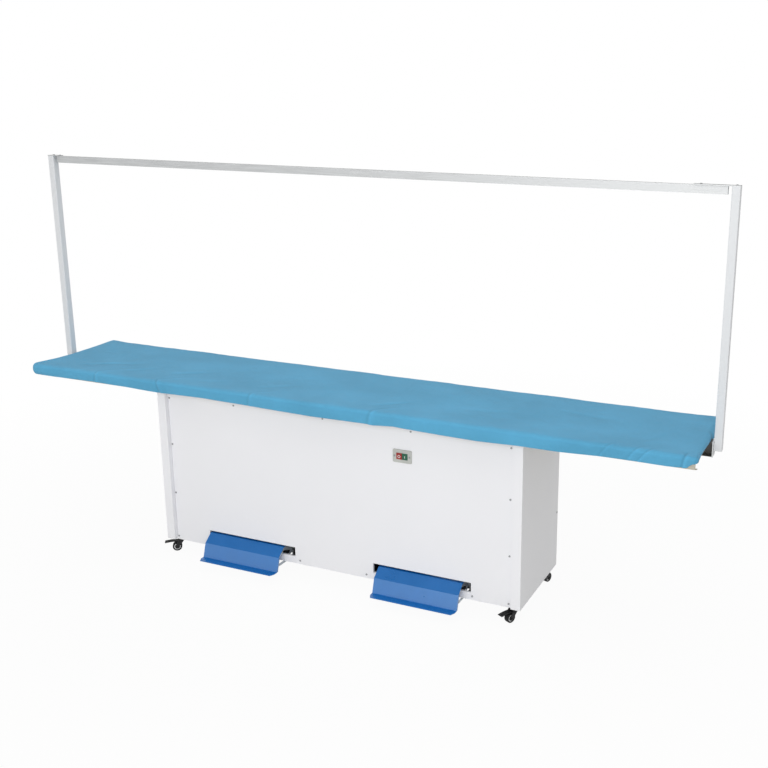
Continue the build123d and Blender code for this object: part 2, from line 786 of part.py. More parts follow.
def pedal_face(side):
    """The foot pedal: one folded sheet with turned ends and a bevelled lip."""
    low, high = arm_places(side)
    points = pedal_outline()
    face = side_profile(folded(points, pedal_sheet), low, high)
    for x0, x1 in ((low, low + pedal_sheet), (high - pedal_sheet, high)):
        face += side_profile(folded(points[2:4], pedal_return), x0, x1)
    tip = front - pedal_reach
    for x, way in ((low, 1), (high, -1)):
        cut = make_face(Polyline((-way, -1), (way * lip_bevel, -1), (way * lip_bevel, 0),
                                 (0, 2 * lip_bevel), (-way, 2 * lip_bevel), close=True))
        face -= Pos(x, tip, toe_height - 2 * pedal_sheet) * extrude(cut, 4 * pedal_sheet)
    return face


def pedal_arms(side):
    """Two arm plates, the hub tube between them and the rear lever."""
    low, high = arm_places(side)
    flange = slot_high - pedal_top_gap - pedal_sheet
    under = panel_low - arm_clear
    hub_r = pivot_r + running_gap + hub_wall
    blade = [(panel_face + pedal_flange, flange),
             (pivot_y, pivot_height + hub_r), (pivot_y, pivot_height - hub_r),
             (front + arm_straight, slot_low + arm_lift),
             (panel_face - arm_gap, slot_low + arm_lift), (panel_face - arm_gap, knee_height),
             (front - knee_reach, knee_height), (panel_face - pedal_sheet, flange)]
    bar = [(pivot_y, pivot_height - hub_r + arm_bar), (front + bar_back, under),
           (front - bar_front, under), (front - shin_reach, under + arm_bar)]
    ahead = [(front - knee_reach, knee_height), (front - shin_reach, toe_height),
             (front - pedal_reach, toe_height), (front - pedal_reach, knee_height)]
    arms = None
    for x0, x1 in ((low + arm_inset, low + arm_inset + arm_sheet),
                   (high - arm_inset - arm_sheet, high - arm_inset)):
        arm = side_profile(blade, x0, x1) + side_profile(folded(bar, arm_bar), x0, x1)
        arm += rod_along_x(hub_r + hub_wall, x0, x1, pivot_y, pivot_height)
        arms = arm if arms is None else arms + arm
    arms += rod_along_x(hub_r, low + arm_inset, high - arm_inset, pivot_y, pivot_height)
    arms += lever_plate(side, (pivot_y, pivot_height), (lever_y, pivot_height), hub_r)
    arms += eye_pin(side, lever_y, pivot_height)
    arms -= rod_along_x(pivot_r + running_gap, low, high, pivot_y, pivot_height)
    return arms - pedal_face(side) - side_profile(ahead, low, high)


def pivot_span(side):
    low, high = arm_places(side)
    return low - bracket_gap, high + bracket_gap


def pedal_shafts():
    shafts = []
    for side in (-1, 1):
        low, high = pivot_span(side)
        shafts.append(rod_along_x(pivot_r, low - bracket_sheet, high + bracket_sheet, pivot_y,
                                  pivot_height))
    return shafts


def pedal_brackets():
    """Upright plates on the base pan that hold the pedal shafts."""
    floor = bottom + sheet
    crown = pivot_r + 2 * hub_wall
    brackets = []
    for side in (-1, 1):
        for x, way in zip(pivot_span(side), (-1, 1)):
            x1 = x + way * bracket_sheet
            plate = slab(x, x1, pivot_y - crown, pivot_y + crown, floor, pivot_height)
            plate += rod_along_x(crown, x, x1, pivot_y, pivot_height)
            plate += slab(x, x + way * 5 * bracket_sheet, pivot_y - crown, pivot_y + crown, floor,
                          floor + bracket_sheet)
            brackets.append(plate - rod_along_x(pivot_r, x, x1, pivot_y, pivot_height))
    return brackets


def throat_span():
    """Front and back of the fan's outlet."""
    reach = fan_small_r + 2 * fan_growth + fan_growth / 2
    return fan_y + reach - fan_throat, fan_y + reach


def scroll_face():
    """The fan housing's outline: three quarter turns of growing radius and a straight throat."""
    g = fan_growth / 2
    r0, r1, r2 = (fan_small_r + fan_growth * i for i in range(3))
    y0, y1 = (y - fan_y for y in throat_span())
    base = bottom + sheet - fan_height
    right, high = (g + r2, -g), (g, r2 - g)
    left, low = (g - r1, g), (-g, g - r0)
    turn = math.sqrt(0.5)
    outline = [
        Line((y0, base), (y0, -impeller_r)),
        Line((y0, -impeller_r), low),
        ThreePointArc(low, (-g - r0 * turn, g - r0 * turn), left),
        ThreePointArc(left, (g - r1 * turn, g + r1 * turn), high),
        ThreePointArc(high, (g + r2 * turn, r2 * turn - g), right),
        Line(right, (y1, base)),
        Line((y1, base), (y0, base)),
    ]
    return make_face(outline)


def fan_housing():
    """Scroll casing, open at its eye and at the foot of its throat."""
    face = scroll_face()
    place = Plane.YZ * Pos(fan_y, fan_height, fan_x)
    body = extrude(place * face, fan_width)
    y0, y1 = throat_span()
    floor = bottom + sheet
    hollow = extrude(Plane.YZ * Pos(fan_y, fan_height, fan_x + sheet) * offset(face, -sheet),
                     fan_width - 2 * sheet)
    hollow += slab(fan_x + sheet, fan_x + fan_width - sheet, y0 + sheet, y1 - sheet, floor - 1,
                   floor + 3 * sheet)
    eye = rod_along_x(impeller_eye_r, fan_x - 1, fan_x + 2 * sheet, fan_y, fan_height)
    far = fan_x + fan_width
    neck = rod_along_x(3 * motor_shaft_r, far - 2 * sheet, far + 1, fan_y, fan_height)
    return body - hollow - eye - neck


def impeller():
    """Back plate, front ring, leaning blades and hub."""
    start = fan_x + (fan_width - impeller_width) / 2
    end = start + impeller_width
    wheel = rod_along_x(impeller_r, end - sheet, end, fan_y, fan_height)
    ring = rod_along_x(impeller_r, start, start + sheet, fan_y, fan_height)
    wheel += ring - rod_along_x(impeller_eye_r, start - 1, start + 2, fan_y, fan_height)
    wheel += rod_along_x(impeller_hub_r, start + impeller_width / 2, end, fan_y, fan_height)
    length = impeller_r - impeller_eye_r
    for i in range(blade_count):
        blade = Pos(0, 0, (impeller_r + impeller_eye_r) / 2) * Rot(blade_lean, 0, 0)
        blade *= Box(impeller_width, blade_sheet, length)
        turn = Rot(360 / blade_count * i, 0, 0)
        wheel += Pos((start + end) / 2, fan_y, fan_height) * turn * blade
    return wheel - rod_along_x(motor_shaft_r, start - 1, end + 1, fan_y, fan_height)


def motor_shaft():
    start = fan_x + fan_width / 2
    return rod_along_x(motor_shaft_r, start, fan_x + fan_width + motor_flange + motor_length,
                       fan_y, fan_height)


def motor():
    """Motor body with its flange, end bell, terminal box and feet."""
    x0 = fan_x + fan_width
    x1 = x0 + motor_flange
    x2 = x1 + motor_length
    x3 = x2 - motor_bell
    body = rod_along_x(motor_flange_r, x0, x1, fan_y, fan_height)
    body += rod_along_x(motor_r, x1, x3, fan_y, fan_height)
    body += rod_along_x(motor_bell_r, x3, x2, fan_y, fan_height)
    body += slab(x1 + terminal_start, x1 + terminal_start + terminal_length,
                 fan_y - terminal_width / 2, fan_y + terminal_width / 2, fan_height,
                 fan_height + terminal_high)
    foot_low = fan_height - motor_r - motor_foot
    body += slab(x1 + foot_start, x1 + foot_start + foot_length, fan_y - foot_width / 2,
                 fan_y + foot_width / 2, foot_low, foot_low + foot_web)
    return body - rod_along_x(motor_shaft_r + running_gap, x0 - 1, x2 + 1, fan_y, fan_height)


def motor_stand():
    """Folded stand from the base pan to the motor's feet."""
    x0 = fan_x + fan_width + motor_flange + foot_start
    x1 = x0 + foot_length
    y0, y1 = fan_y - stand_width / 2, fan_y + stand_width / 2
    high, floor = fan_height - motor_r - motor_foot, bottom + sheet
    stand = slab(x0, x1, y0, y1, high - stand_sheet, high)
    for y, way in ((y0, -1), (y1, 1)):
        stand += slab(x0, x1, y, y - way * stand_sheet, floor, high)
        stand += slab(x0, x1, y, y + way * stand_foot, floor, floor + stand_sheet)
    return stand


def exhaust_grille():
    """Louvred plate under the fan's outlet."""
    y0, y1 = throat_span()
    rim = grille_rim
    plate = slab(fan_x - rim, fan_x + fan_width + rim, y0 - rim, y1 + rim, bottom - sheet, bottom)
    pitch = (y1 - y0) / (grille_slots + 1)
    for i in range(grille_slots):
        y = y0 + pitch * (i + 1)
        plate -= slab(fan_x + rim, fan_x + fan_width - rim, y - pitch / 4, y + pitch / 4,
                      bottom - 2 * sheet, bottom + 1)
    return plate


def switch_screw_holes():
    holes = [rod_along_y(screw_r + hole_gap, switch_x + way * switch_screw_spacing / 2,
                         panel_face - switch_plate_t - 1, panel_back + screw_length, switch_z)
             for way in (-1, 1)]
    return holes[0] + holes[1]


def switch_plate():
    """Cover plate of the starter with its rounded corners and window."""
    y0 = panel_face - switch_plate_t
    face = RectangleRounded(switch_width, switch_height, switch_corner)
    plate = extrude(Plane.XZ.offset(-panel_face) * Pos(switch_x, switch_z) * face, switch_plate_t)
    plate = fillet(plate.faces().sort_by(Axis.Y)[0].edges(), switch_edge)
    plate -= slab(switch_x - switch_window_w / 2, switch_x + switch_window_w / 2, y0 - 1,
                  panel_face + 1, switch_z - switch_window_h / 2, switch_z + switch_window_h / 2)
    return plate - switch_screw_holes()


def switch_screws():
    place = [Pos(switch_x + way * switch_screw_spacing / 2, panel_face - switch_plate_t, switch_z)
             for way in (-1, 1)]
    return [screw(spot * Rot(-90, 0, 0)) for spot in place]


def switch_box():
    """Starter body behind the panel, with the two push buttons' pockets."""
    w = switch_window_w / 2 + switch_box_margin
    h = switch_window_h / 2 + switch_box_margin
    box = slab(switch_x - w, switch_x + w, panel_face, panel_face + switch_box_depth,
               switch_z - h, switch_z + h)
    depth = button_length + button_travel + 1 - switch_plate_t
    for way in (-1, 1):
        x0, x1 = button_span(way)
        box -= slab(x0 - slide_gap, x1 + slide_gap, panel_face - 1, panel_face + depth,
                    switch_z - switch_window_h / 2, switch_z + switch_window_h / 2)
    return box


def button_span(way):
    """Left and right side of the stop (-1) or start (+1) button."""
    near, far = way * 2 * slide_gap, way * (switch_window_w / 2 - slide_gap)
    return switch_x + min(near, far), switch_x + max(near, far)


def button(way):
    x0, x1 = button_span(way)
    y0 = panel_face - switch_plate_t - button_proud
    h = switch_window_h / 2 - slide_gap
    body = slab(x0, x1, y0, y0 + button_length, switch_z - h, switch_z + h)
    return fillet(body.faces().sort_by(Axis.Y)[0].edges(), switch_edge)


def gantry_post(side):
    """Square tube beside the top's end, closed at its head."""
    x0, x1 = side * post_x, side * (post_x + post)
    mid = (x0 + x1) / 2
    face = RectangleRounded(post, post, post_corner)
    hollow = RectangleRounded(post - 2 * post_wall, post - 2 * post_wall, post_corner / 2)
    place = Pos(mid, post_y + post / 2, post_low)
    tube = place * extrude(face, rail_top - post_low)
    tube -= place * extrude(hollow, rail_top - post_low - strap)
    for z in post_bolt_heights():
        tube -= rod_along_x(bolt_r + hole_gap, side * (post_x - 1), side * (post_x + 2 * post_wall),
                            post_y + post / 2, z)
    for x, y in strap_screw_points():
        tube -= rod_along_z(screw_r + hole_gap, x, y, rail_top - 2 * strap, rail_top + 1)
    return tube


def post_bolt_heights():
    return [post_low + rise for rise in post_bolt_rise]


def strap_screw_points():
    """X and Y of the screws in the two straps over the rail's ends."""
    y = post_y + post - rail_thin / 2
    left, right = -post_x - post, post_x + post
    return [(left + post / 2, y), (left + strap_left - strap_screw_inset[0], y),
            (right - post / 2, y), (right - strap_right + strap_screw_inset[1], y)]


def rail_strap(side):
    """Flat strap that ties the rail to the post's head."""
    length = strap_left if side < 0 else strap_right
    x1 = side * (post_x + post)
    plate = slab(x1 - side * length, x1, post_y, post_y + post, rail_top, rail_top + strap)
    for x, y in strap_screw_points():
        plate -= rod_along_z(screw_r + hole_gap, x, y, rail_top - 1, rail_top + strap + 1)
    return plate


def hanging_rail():
    """Slotted channel that the curtain's gliders run in, open at both ends, as five flat strips."""
    x0, x1 = -post_x + rail_gap_left, post_x - rail_gap_right
    y1 = post_y + post
    y0 = y1 - rail_thin
    mid = (y0 + y1) / 2
    low, high = rail_top - rail_size, rail_top - rail_wall
    web = slab(x0, x1, y0, y1, high, rail_top)
    for x, y in strap_screw_points():
        web -= rod_along_z(screw_r + hole_gap, x, y, high - 1, rail_top + 1)
    strips = [web]
    for wall, lip in ((y0, mid - rail_slot / 2), (y1, mid + rail_slot / 2)):
        inner = wall + math.copysign(rail_wall, mid - wall)
        strips.append(slab(x0, x1, wall, inner, low + rail_wall, high))
        strips.append(slab(x0, x1, wall, lip, low, low + rail_wall))
    return strips


def bracket_bolt_places(side):
    far = bed_length / 2
    y = post_y + post / 2 - sheet
    return [(side * (far - bracket_bolt_inset), y),
            (side * (far - bracket_run + bracket_bolt_inset), y)]


def post_bracket(side):
    """Channel under the tray's end with the plate that the post bolts to."""
    plate_x = post_x - bracket_plate
    y1 = post_y + post + bracket_edge
    y0 = y1 - bracket_width
    low = bay_low - bracket_channel
    part = slab(side * (bed_length / 2 - bracket_run), side * plate_x, y0 + bracket_edge,
                y1 - bracket_edge, low, bay_low)
    part -= slab(side * (bed_length / 2 - bracket_run - 1), side * (plate_x + 1), y0,
                 y1 - bracket_edge - 2 * sheet, low + sheet, bay_low - 2 * sheet)
    part += slab(side * plate_x, side * post_x, y0, y1, low, top + bracket_rise)
    for x, y in bracket_bolt_places(side):
        part -= rod_along_z(bolt_r + hole_gap, x, y, bay_low - 3 * sheet, bay_low + 1)
    for z in post_bolt_heights():
        part -= rod_along_x(bolt_r + hole_gap, side * (plate_x - 1), side * (post_x + 1),
                            post_y + post / 2, z)
    return part


def frame_bolts():
    """Bolts of the top to the cabinet, and of the brackets to the tray and the posts."""
    bolts = []
    for side in (-1, 1):
        for x, y in bed_bolt_places(side):
            bolts.append(bolt(Pos(x, y, top + sheet) * Rot(180, 0, 0), 2 * sheet))
        for x, y in bracket_bolt_places(side):
            bolts.append(bolt(Pos(x, y, bay_low - 2 * sheet), 3 * sheet))
        for z in post_bolt_heights():
            place = Pos(side * (post_x - bracket_plate), post_y + post / 2, z)
            bolts.append(bolt(place * Rot(0, 90 * side, 0), bracket_plate + post_wall))
    return bolts


def caster_bolt_points():
    """X and Y of the sixteen caster bolts."""
    return [(side * (half - caster_inset_x) + dx * caster_bolt, y + dy * caster_bolt)
            for side, y, turn in casters.values() for dx in (-1, 1) for dy in (-1, 1)]


def caster_bolts():
    low = bottom - caster_plate_t
    return [bolt(Pos(x, y, low), caster_plate_t + sheet) for x, y in caster_bolt_points()]


def caster_plates():
    """Top plates with their swivel races and kingpins."""
    plates = []
    low = bottom - caster_plate_t
    race_low = low - race_height
    pin_low = race_low - fork_sheet - 2 * running_gap
    for side, y, turn in casters.values():
        x = side * (half - caster_inset_x)
        plate = slab(x - caster_plate / 2, x + caster_plate / 2, y - caster_plate / 2,
                     y + caster_plate / 2, low, bottom)
        plate += rod_along_z(race_r, x, y, race_low, low)
        plate += rod_along_z(kingpin_r, x, y, pin_low - 2, race_low)
        plate += rod_along_z(kingpin_head_r, x, y, pin_low - 2, pin_low)
        for dx in (-1, 1):
            for dy in (-1, 1):
                plate -= rod_along_z(bolt_r + hole_gap, x + dx * caster_bolt, y + dy * caster_bolt,
                                     low - 1, bottom + 1)
        plates.append(plate)
    return plates


def caster_place(name):
    side, y, turn = casters[name]
    return Pos(side * (half - caster_inset_x), y, 0) * Rot(0, 0, turn)


def caster_fork(name):
    """Crown and legs, with the axle and, at the front, the brake's pin."""
    crown_high = bottom - caster_plate_t - race_height - running_gap
    crown_low = crown_high - fork_sheet
    reach = fork_inner / 2
    fork = rod_along_z(crown_r, 0, 0, crown_low, crown_high)
    behind, ahead = leg_top
    small, large = leg_foot
    leg = make_face(Polyline((-behind, crown_high), (ahead, crown_high),
                             (trail + large, wheel_r + small), (trail + small, wheel_r - leg_round),
                             (trail - small, wheel_r - leg_round),
                             (trail - behind, wheel_r + small), close=True))
    for way in (-1, 1):
        y = way * (reach + fork_sheet / 2)
        plate = Plane.XZ.offset(-y - fork_sheet / 2) * leg
        fork += extrude(plate, fork_sheet)
    fork += slab(-behind, ahead, -reach - fork_sheet, reach + fork_sheet,
                 crown_low, crown_high)
    fork -= rod_along_z(kingpin_r + running_gap, 0, 0, crown_low - 1, crown_high + 1)
    ends = reach + 2 * fork_sheet
    fork += rod_along_y(axle_r, trail, -ends, ends, wheel_r)
    if name.startswith("f"):
        fork += rod_along_y(brake_pin_r, brake_x(), -ends, ends, brake_z())
    return caster_place(name) * fork


def brake_x():
    return trail - brake_back


def brake_z():
    return 2 * wheel_r + brake_rise


def caster_wheel(name):
    """Wheel with its tread and recessed hub faces."""
    w = wheel_width / 2
    wheel = rod_along_y(wheel_r, trail, -w, w, wheel_r)
    wheel = fillet(wheel.edges().filter_by(GeomType.CIRCLE), tread_round)
    dish = rod_along_y(wheel_r - tyre_depth, trail, w - hub_dish, w + 1, wheel_r)
    dish += rod_along_y(wheel_r - tyre_depth, trail, -w - 1, hub_dish - w, wheel_r)
    wheel -= dish
    w_hub = fork_inner / 2 - hub_gap
    wheel += rod_along_y(2 * axle_r, trail, -w_hub, w_hub, wheel_r)
    wheel -= rod_along_y(axle_r + running_gap, trail, -w_hub - 1, w_hub + 1, wheel_r)
    return caster_place(name) * wheel


def brake_lever(name):
    """Toe lever over the wheel, on its pin, with the brake shoe under it."""
    w = fork_inner / 2 - 2 * hub_gap
    high = brake_z() + brake_rise
    path = [(brake_x() - brake_tail, high), (brake_x() + brake_flat, high),
            (lever_reach, high - brake_dip)]
    outline = folded(path, -brake_sheet)
    face = make_face(Polyline(*outline, close=True))
    lever = extrude(Plane.XZ.offset(-w) * face, 2 * w)
    lever += rod_along_y(brake_pin_r + brake_sheet, brake_x(), -w, w, brake_z())
    lever += slab(trail - shoe_half, trail + shoe_half, shoe_half - w, w - shoe_half,
                  brake_z() - 1, high - brake_sheet / 2)
    lever -= rod_along_y(brake_pin_r + running_gap, brake_x(), -w - 1, w + 1, brake_z())
    return caster_place(name) * lever


def cable_gland():
    """Gland that the supply cable enters through."""
    face = inner_back + sheet
    gland = rod_along_y(gland_r, gland_x, face, face + gland_out / 2, gland_z)
    gland += rod_along_y(gland_cap_r, gland_x, face, face + gland_out, gland_z)
    gland += rod_along_y(gland_neck_r, gland_x, inner_back - gland_in, face, gland_z)
    gland += rod_along_y(gland_r, gland_x, inner_back - gland_in, inner_back, gland_z)
    return gland - rod_along_y(gland_bore, gland_x, inner_back - gland_in - 1,
                               face + gland_out + 1, gland_z)


os.makedirs("parts", exist_ok=True)

write("bed_tray", tray())
write("tray_ribs", *tray_ribs())
write("perforated_plate", perforated_plate())
write("felt_pad", felt_pad())
write("ironing_cover", cover())
write("cover_skirt", cover_skirt())

write("side_panel_left", *side_panel(-1))
write("side_panel_right", *side_panel(1))
write("front_panel", front_panel())
write("back_panel", *back_panel())
write("base_pan", *base_pan())
write("top_rails", *top_rails())
write("panel_screws", *panel_screws())

write("gantry_post_left", gantry_post(-1))
write("gantry_post_right", gantry_post(1))
write("hanging_rail", *hanging_rail())
write("rail_strap_left", rail_strap(-1))
write("rail_strap_right", rail_strap(1))
write("post_bracket_left", post_bracket(-1))
write("post_bracket_right", post_bracket(1))
write("frame_bolts", *frame_bolts())

write("switch_box", switch_box())
write("switch_plate", switch_plate())
write("switch_screws", *switch_screws())
write("stop_button", button(-1))
write("start_button", button(1))

for label, side in (("left", -1), ("right", 1)):
    write(f"pedal_{label}", pedal_face(side))
    write(f"pedal_arms_{label}", pedal_arms(side))
    write(f"push_rod_{label}", push_rod(side))
    write(f"return_spring_{label}", return_spring(side))
    write(f"damper_{label}", damper(side))
write("pedal_shafts", *pedal_shafts())
write("pedal_brackets", *pedal_brackets())
write("rod_guides", *rod_guides())
write("damper_bushes", *damper_bushes())

write("suction_duct", suction_duct())
write("fan_housing", fan_housing())
write("impeller", impeller())
write("motor_shaft", motor_shaft())
write("motor", motor())
write("motor_stand", motor_stand())
write("exhaust_grille", exhaust_grille())
write("cable_gland", cable_gland())

write("caster_plates", *caster_plates())
write("caster_bolts", *caster_bolts())
for name in casters:
    write(f"caster_fork_{name}", caster_fork(name))
    write(f"caster_wheel_{name}", caster_wheel(name))
for name in ("fl", "fr"):
    write(f"brake_lever_{name}", brake_lever(name))
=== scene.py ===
"""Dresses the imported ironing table: its cloth cover, felt, wheels, finishes and studio."""

import json
import math

import bmesh
import bpy
import numpy as np
from bpy.props import FloatProperty, FloatVectorProperty, PointerProperty
from mathutils import Matrix, Vector


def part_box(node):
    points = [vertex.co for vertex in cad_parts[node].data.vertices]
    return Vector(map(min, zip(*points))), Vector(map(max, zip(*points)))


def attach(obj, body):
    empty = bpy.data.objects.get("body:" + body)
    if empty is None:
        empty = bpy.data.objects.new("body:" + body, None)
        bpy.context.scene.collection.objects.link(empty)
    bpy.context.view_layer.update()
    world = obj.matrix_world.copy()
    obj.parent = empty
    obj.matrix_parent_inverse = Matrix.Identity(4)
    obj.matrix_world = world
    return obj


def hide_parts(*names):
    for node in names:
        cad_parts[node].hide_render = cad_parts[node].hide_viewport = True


bl_info = {
    "name": "Vacuum ironing table",
    "version": (1, 0, 0),
    "blender": (4, 5, 0),
    "location": "3D View > Sidebar > Ironing table",
    "description": "Builds the cloth cover, felt, wheels, finishes and studio of an ironing table",
    "category": "Object",
}

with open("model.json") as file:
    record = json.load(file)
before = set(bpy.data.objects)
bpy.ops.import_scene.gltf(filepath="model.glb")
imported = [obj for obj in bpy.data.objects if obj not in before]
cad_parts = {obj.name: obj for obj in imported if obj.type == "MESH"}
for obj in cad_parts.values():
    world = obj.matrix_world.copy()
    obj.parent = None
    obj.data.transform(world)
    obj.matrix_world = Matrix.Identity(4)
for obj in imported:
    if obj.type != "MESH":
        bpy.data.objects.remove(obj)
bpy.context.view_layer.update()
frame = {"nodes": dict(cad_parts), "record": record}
skirt_low, skirt_high = (Vector(p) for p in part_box("cover_skirt"))
felt_low, felt_high = (Vector(p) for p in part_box("felt_pad"))
bed_mid = (skirt_low.y + skirt_high.y) / 2
picture = 768   # side of the picture that the camera was fitted to, in its own pixels

# The front hem: place along the table and height above the floor, in metres.
front_hem = np.array([
    (-1.493, 0.769), (-1.382, 0.768), (-1.154, 0.7705), (-0.981, 0.768), (-0.812, 0.764),
    (-0.579, 0.7685), (-0.293, 0.763), (-0.057, 0.758), (0.185, 0.761), (0.230, 0.759),
    (0.317, 0.766), (0.459, 0.7605), (0.666, 0.757), (0.839, 0.762), (0.996, 0.762),
    (1.148, 0.768), (1.252, 0.769), (1.389, 0.768), (1.453, 0.771), (1.462, 0.772),
    (1.470, 0.780), (1.480, 0.787), (1.497, 0.791),
])

# The short hem at both ends, from the front corner to the back one: place and height.
end_hem = np.array([
    (-0.224, 0.791), (-0.200, 0.798), (-0.150, 0.801), (-0.088, 0.801), (-0.030, 0.7985),
    (0.000, 0.7985), (0.004, 0.7995), (0.046, 0.7995), (0.060, 0.786), (0.094, 0.782),
    (0.130, 0.776), (0.230, 0.772), (0.267, 0.768),
])

# Ripples: seed, count of waves, and the shortest and longest wave in metres.
broad_ripples = (11, 14, 0.12, 0.45)
fine_ripples = (12, 14, 0.03, 0.09)
back_ripples = (5, 6, 0.15, 0.6)

# Distances of the cloth that no setting changes, in metres.
back_wander = 0.002      # height of the ripples in the back hem
cover_sink = 0.0008      # from the solid cover's top down to the level cloth
corner_roll = 0.011      # depth of the soft edge at the cover's corners
full_roll = 0.12         # from a corner to where the soft edge has its whole depth
tuck_least = 0.0003      # cloth turned in where the hem is too high to be tucked
tucked_hem = 0.766       # a hem below this is tucked in whole
open_hem = 0.770         # a hem above this isn't tucked in
tuck_rise = 0.0008       # rise of the tucked edge over the hem
bulge_height = 0.05      # from the hem to the top of the skirt's bulge
deepest = 0.0009         # how far folds may sink into the skirt and the soft edge
edge_margin = 0.001      # cloth this far under the top counts as skirt or soft edge
puff_reach = 0.11        # how far the swollen corner reaches

# Distances of the folds, in metres.
top_edge = skirt_low.y + 0.026   # where the soft edge of the flat cloth meets the level top
full_shade = 0.0035              # depth of a fold whose valley has its whole shade
stroke_height = 0.002            # depth of a stroke whose depth is given as 1

# Distances of the felt, in metres.
felt_sink = 0.0026       # from the solid cover's top down to the top of the felt's rim
felt_clear = 0.0012      # from there down to the felt's upper face
felt_rim = 0.0035        # depth of its rounded rim
felt_corner = 0.006      # radius of its corners

# Folds of the skirt: place where the skirt meets the top, depth, width, run over the top, its
# slant there and the fold's lean on the skirt.
folds = np.array([
    (-1.150, 0.0017, 0.006, 0.13, 0.9, 0.1),
    (-0.830, 0.0021, 0.006, 0.11, 1.1, -0.4),
    (-0.346, 0.0015, 0.006, 0.09, 1.0, 0.1),
    (0.217, 0.0020, 0.007, 0.11, 1.0, 0.2),
    (1.186, 0.0017, 0.005, 0.02, 1.0, 0.7),
    (1.288, 0.0019, 0.005, 0.02, 1.0, 0.7),
    (1.334, 0.0017, 0.005, 0.02, 1.0, 0.8),
    (1.455, 0.0030, 0.005, 0.02, 0.4, 0.2),
])

# Soft strokes in the top: middle along and across the table, length, heading, width and depth.
strokes = np.array([
    (-1.235, -0.110, 0.16, 0.50, 0.012, 0.8),
    (-1.120, -0.060, 0.22, 0.42, 0.014, 0.7),
    (-0.985, -0.100, 0.15, 0.75, 0.010, 0.6),
    (-0.760, -0.070, 0.20, 0.55, 0.013, 0.7),
    (-0.590, -0.130, 0.13, 0.35, 0.010, 0.5),
    (-0.300, -0.090, 0.18, 0.60, 0.012, 0.6),
    (0.255, -0.105, 0.18, 0.65, 0.012, 0.6),
    (0.640, -0.040, 0.22, 0.20, 0.014, 0.4),
    (1.010, 0.060, 0.24, -0.15, 0.014, 0.4),
    (1.330, -0.060, 0.16, 1.00, 0.011, 0.3),
    (1.506, 0.047, 0.07, -1.07, 0.007, 1.9),
])


def length_setting(name, description, default):
    """A setting in metres."""
    return FloatProperty(name=name, description=description, default=default, unit="LENGTH")


def colour_setting(name, description, default):
    """A colour for the user to set."""
    return FloatVectorProperty(name=name, description=description, default=default,
                               subtype="COLOR", size=3, min=0, max=1)


class CoverSettings(bpy.types.PropertyGroup):
    """Sizes and colours of the cloth cover and the felt."""

    roll_out: length_setting("Roll depth", "How far the soft edge rolls in from the skirt", 0.026)
    roll_down: length_setting("Roll height", "Height of the soft rolled edge", 0.013)
    corner: length_setting("Corner radius", "Plan radius of the cover's corners", 0.015)
    hem_round: length_setting("Hem radius", "Radius of the hem's turn", 0.0026)
    hem_under: length_setting("Hem tuck", "Cloth tucked in under the tray", 0.011)
    back_hem: length_setting("Back hem", "Height of the back hem", 0.766)
    bulge: length_setting("Skirt bulge", "How far the skirt stands off the tray", 0.0014)
    crown: length_setting("Crown", "Rise of the padded top towards its back", 0.005)
    puff: length_setting("Corner puff", "How far the left front corner swells out", 0.009)
    ripple: length_setting("Ripple", "Height of the broad ripples in the top", 0.0011)
    thread: length_setting("Thread pitch", "Distance between two threads of the cloth", 0.0009)
    cloth: colour_setting("Cloth", "Colour of the cloth", (0.104, 0.400, 0.635))
    felt: colour_setting("Felt", "Colour of the felt", (0.72, 0.70, 0.62))


class CasterSettings(bpy.types.PropertyGroup):
    """Sizes and colours of the wheels."""

    groove: length_setting("Tread groove", "Depth of the grooves round the tread", 0.0007)
    tread: colour_setting("Tread", "Colour of the tread", (0.011, 0.011, 0.012))
    hub: colour_setting("Hub", "Colour of the hub's ring", (0.74, 0.75, 0.76))


class FinishSettings(bpy.types.PropertyGroup):
    """Colours of the painted, plated and moulded parts."""

    cabinet: colour_setting("Cabinet", "Cabinet paint", (0.862, 0.863, 0.892))
    gantry: colour_setting("Gantry", "Paint of the posts", (0.75, 0.765, 0.785))
    # painted shade: near-black colour for the channel of the posts' brackets, where shade falls
    bracket_shade: colour_setting("Bracket shade", "Primer inside the posts' brackets", (0.10, 0.10, 0.095))
    rail: colour_setting("Rail", "Rail and straps", (0.56, 0.57, 0.575))
    tray: colour_setting("Tray", "Paint of the tray", (0.50, 0.47, 0.39))
    pedal: colour_setting("Pedals", "Paint of the pedals", (0.008, 0.142, 0.46))
    arm: colour_setting("Pedal arms", "Paint of the arms", (0.50, 0.56, 0.62))
    switch: colour_setting("Switch plate", "Plastic of the switch", (0.49, 0.50, 0.475))


class StudioSettings(bpy.types.PropertyGroup):
    """Camera, lamps and floor."""

    camera_place: FloatVectorProperty(name="Camera", description="Place of the camera",
                                      subtype="TRANSLATION", unit="LENGTH", size=3,
                                      default=(2.0356, -3.4244, 1.9876))
    yaw: FloatProperty(name="Yaw", description="Turn of the camera to the left", subtype="ANGLE",
                       default=math.radians(20.99))
    pitch: FloatProperty(name="Pitch", description="Fall of the camera's view", subtype="ANGLE",
                         default=math.radians(14.28))
    roll: FloatProperty(name="Roll", description="Roll of the camera", subtype="ANGLE",
                        default=math.radians(-0.97))
    focal: FloatProperty(name="Focal length", description="In widths of the picture",
                         default=979.74 / picture)
    front_light: FloatProperty(name="Front light", description="Power of the large front lamp",
                               subtype="POWER", unit="POWER", default=141.0)
    top_light: FloatProperty(name="Ceiling light", description="Power of the ceiling lamp",
                             subtype="POWER", unit="POWER", default=44.0)
    fill: FloatProperty(name="Fill", description="Strength of the light from all round",
                        default=0.52)
    zenith: FloatProperty(name="Zenith", default=0.1,
                          description="Strength of the light overhead in reflections")


def as_arrays(*columns):
    """Points with their coordinates last, from coordinate arrays that broadcast together."""
    return np.stack(np.broadcast_arrays(*columns), axis=-1)


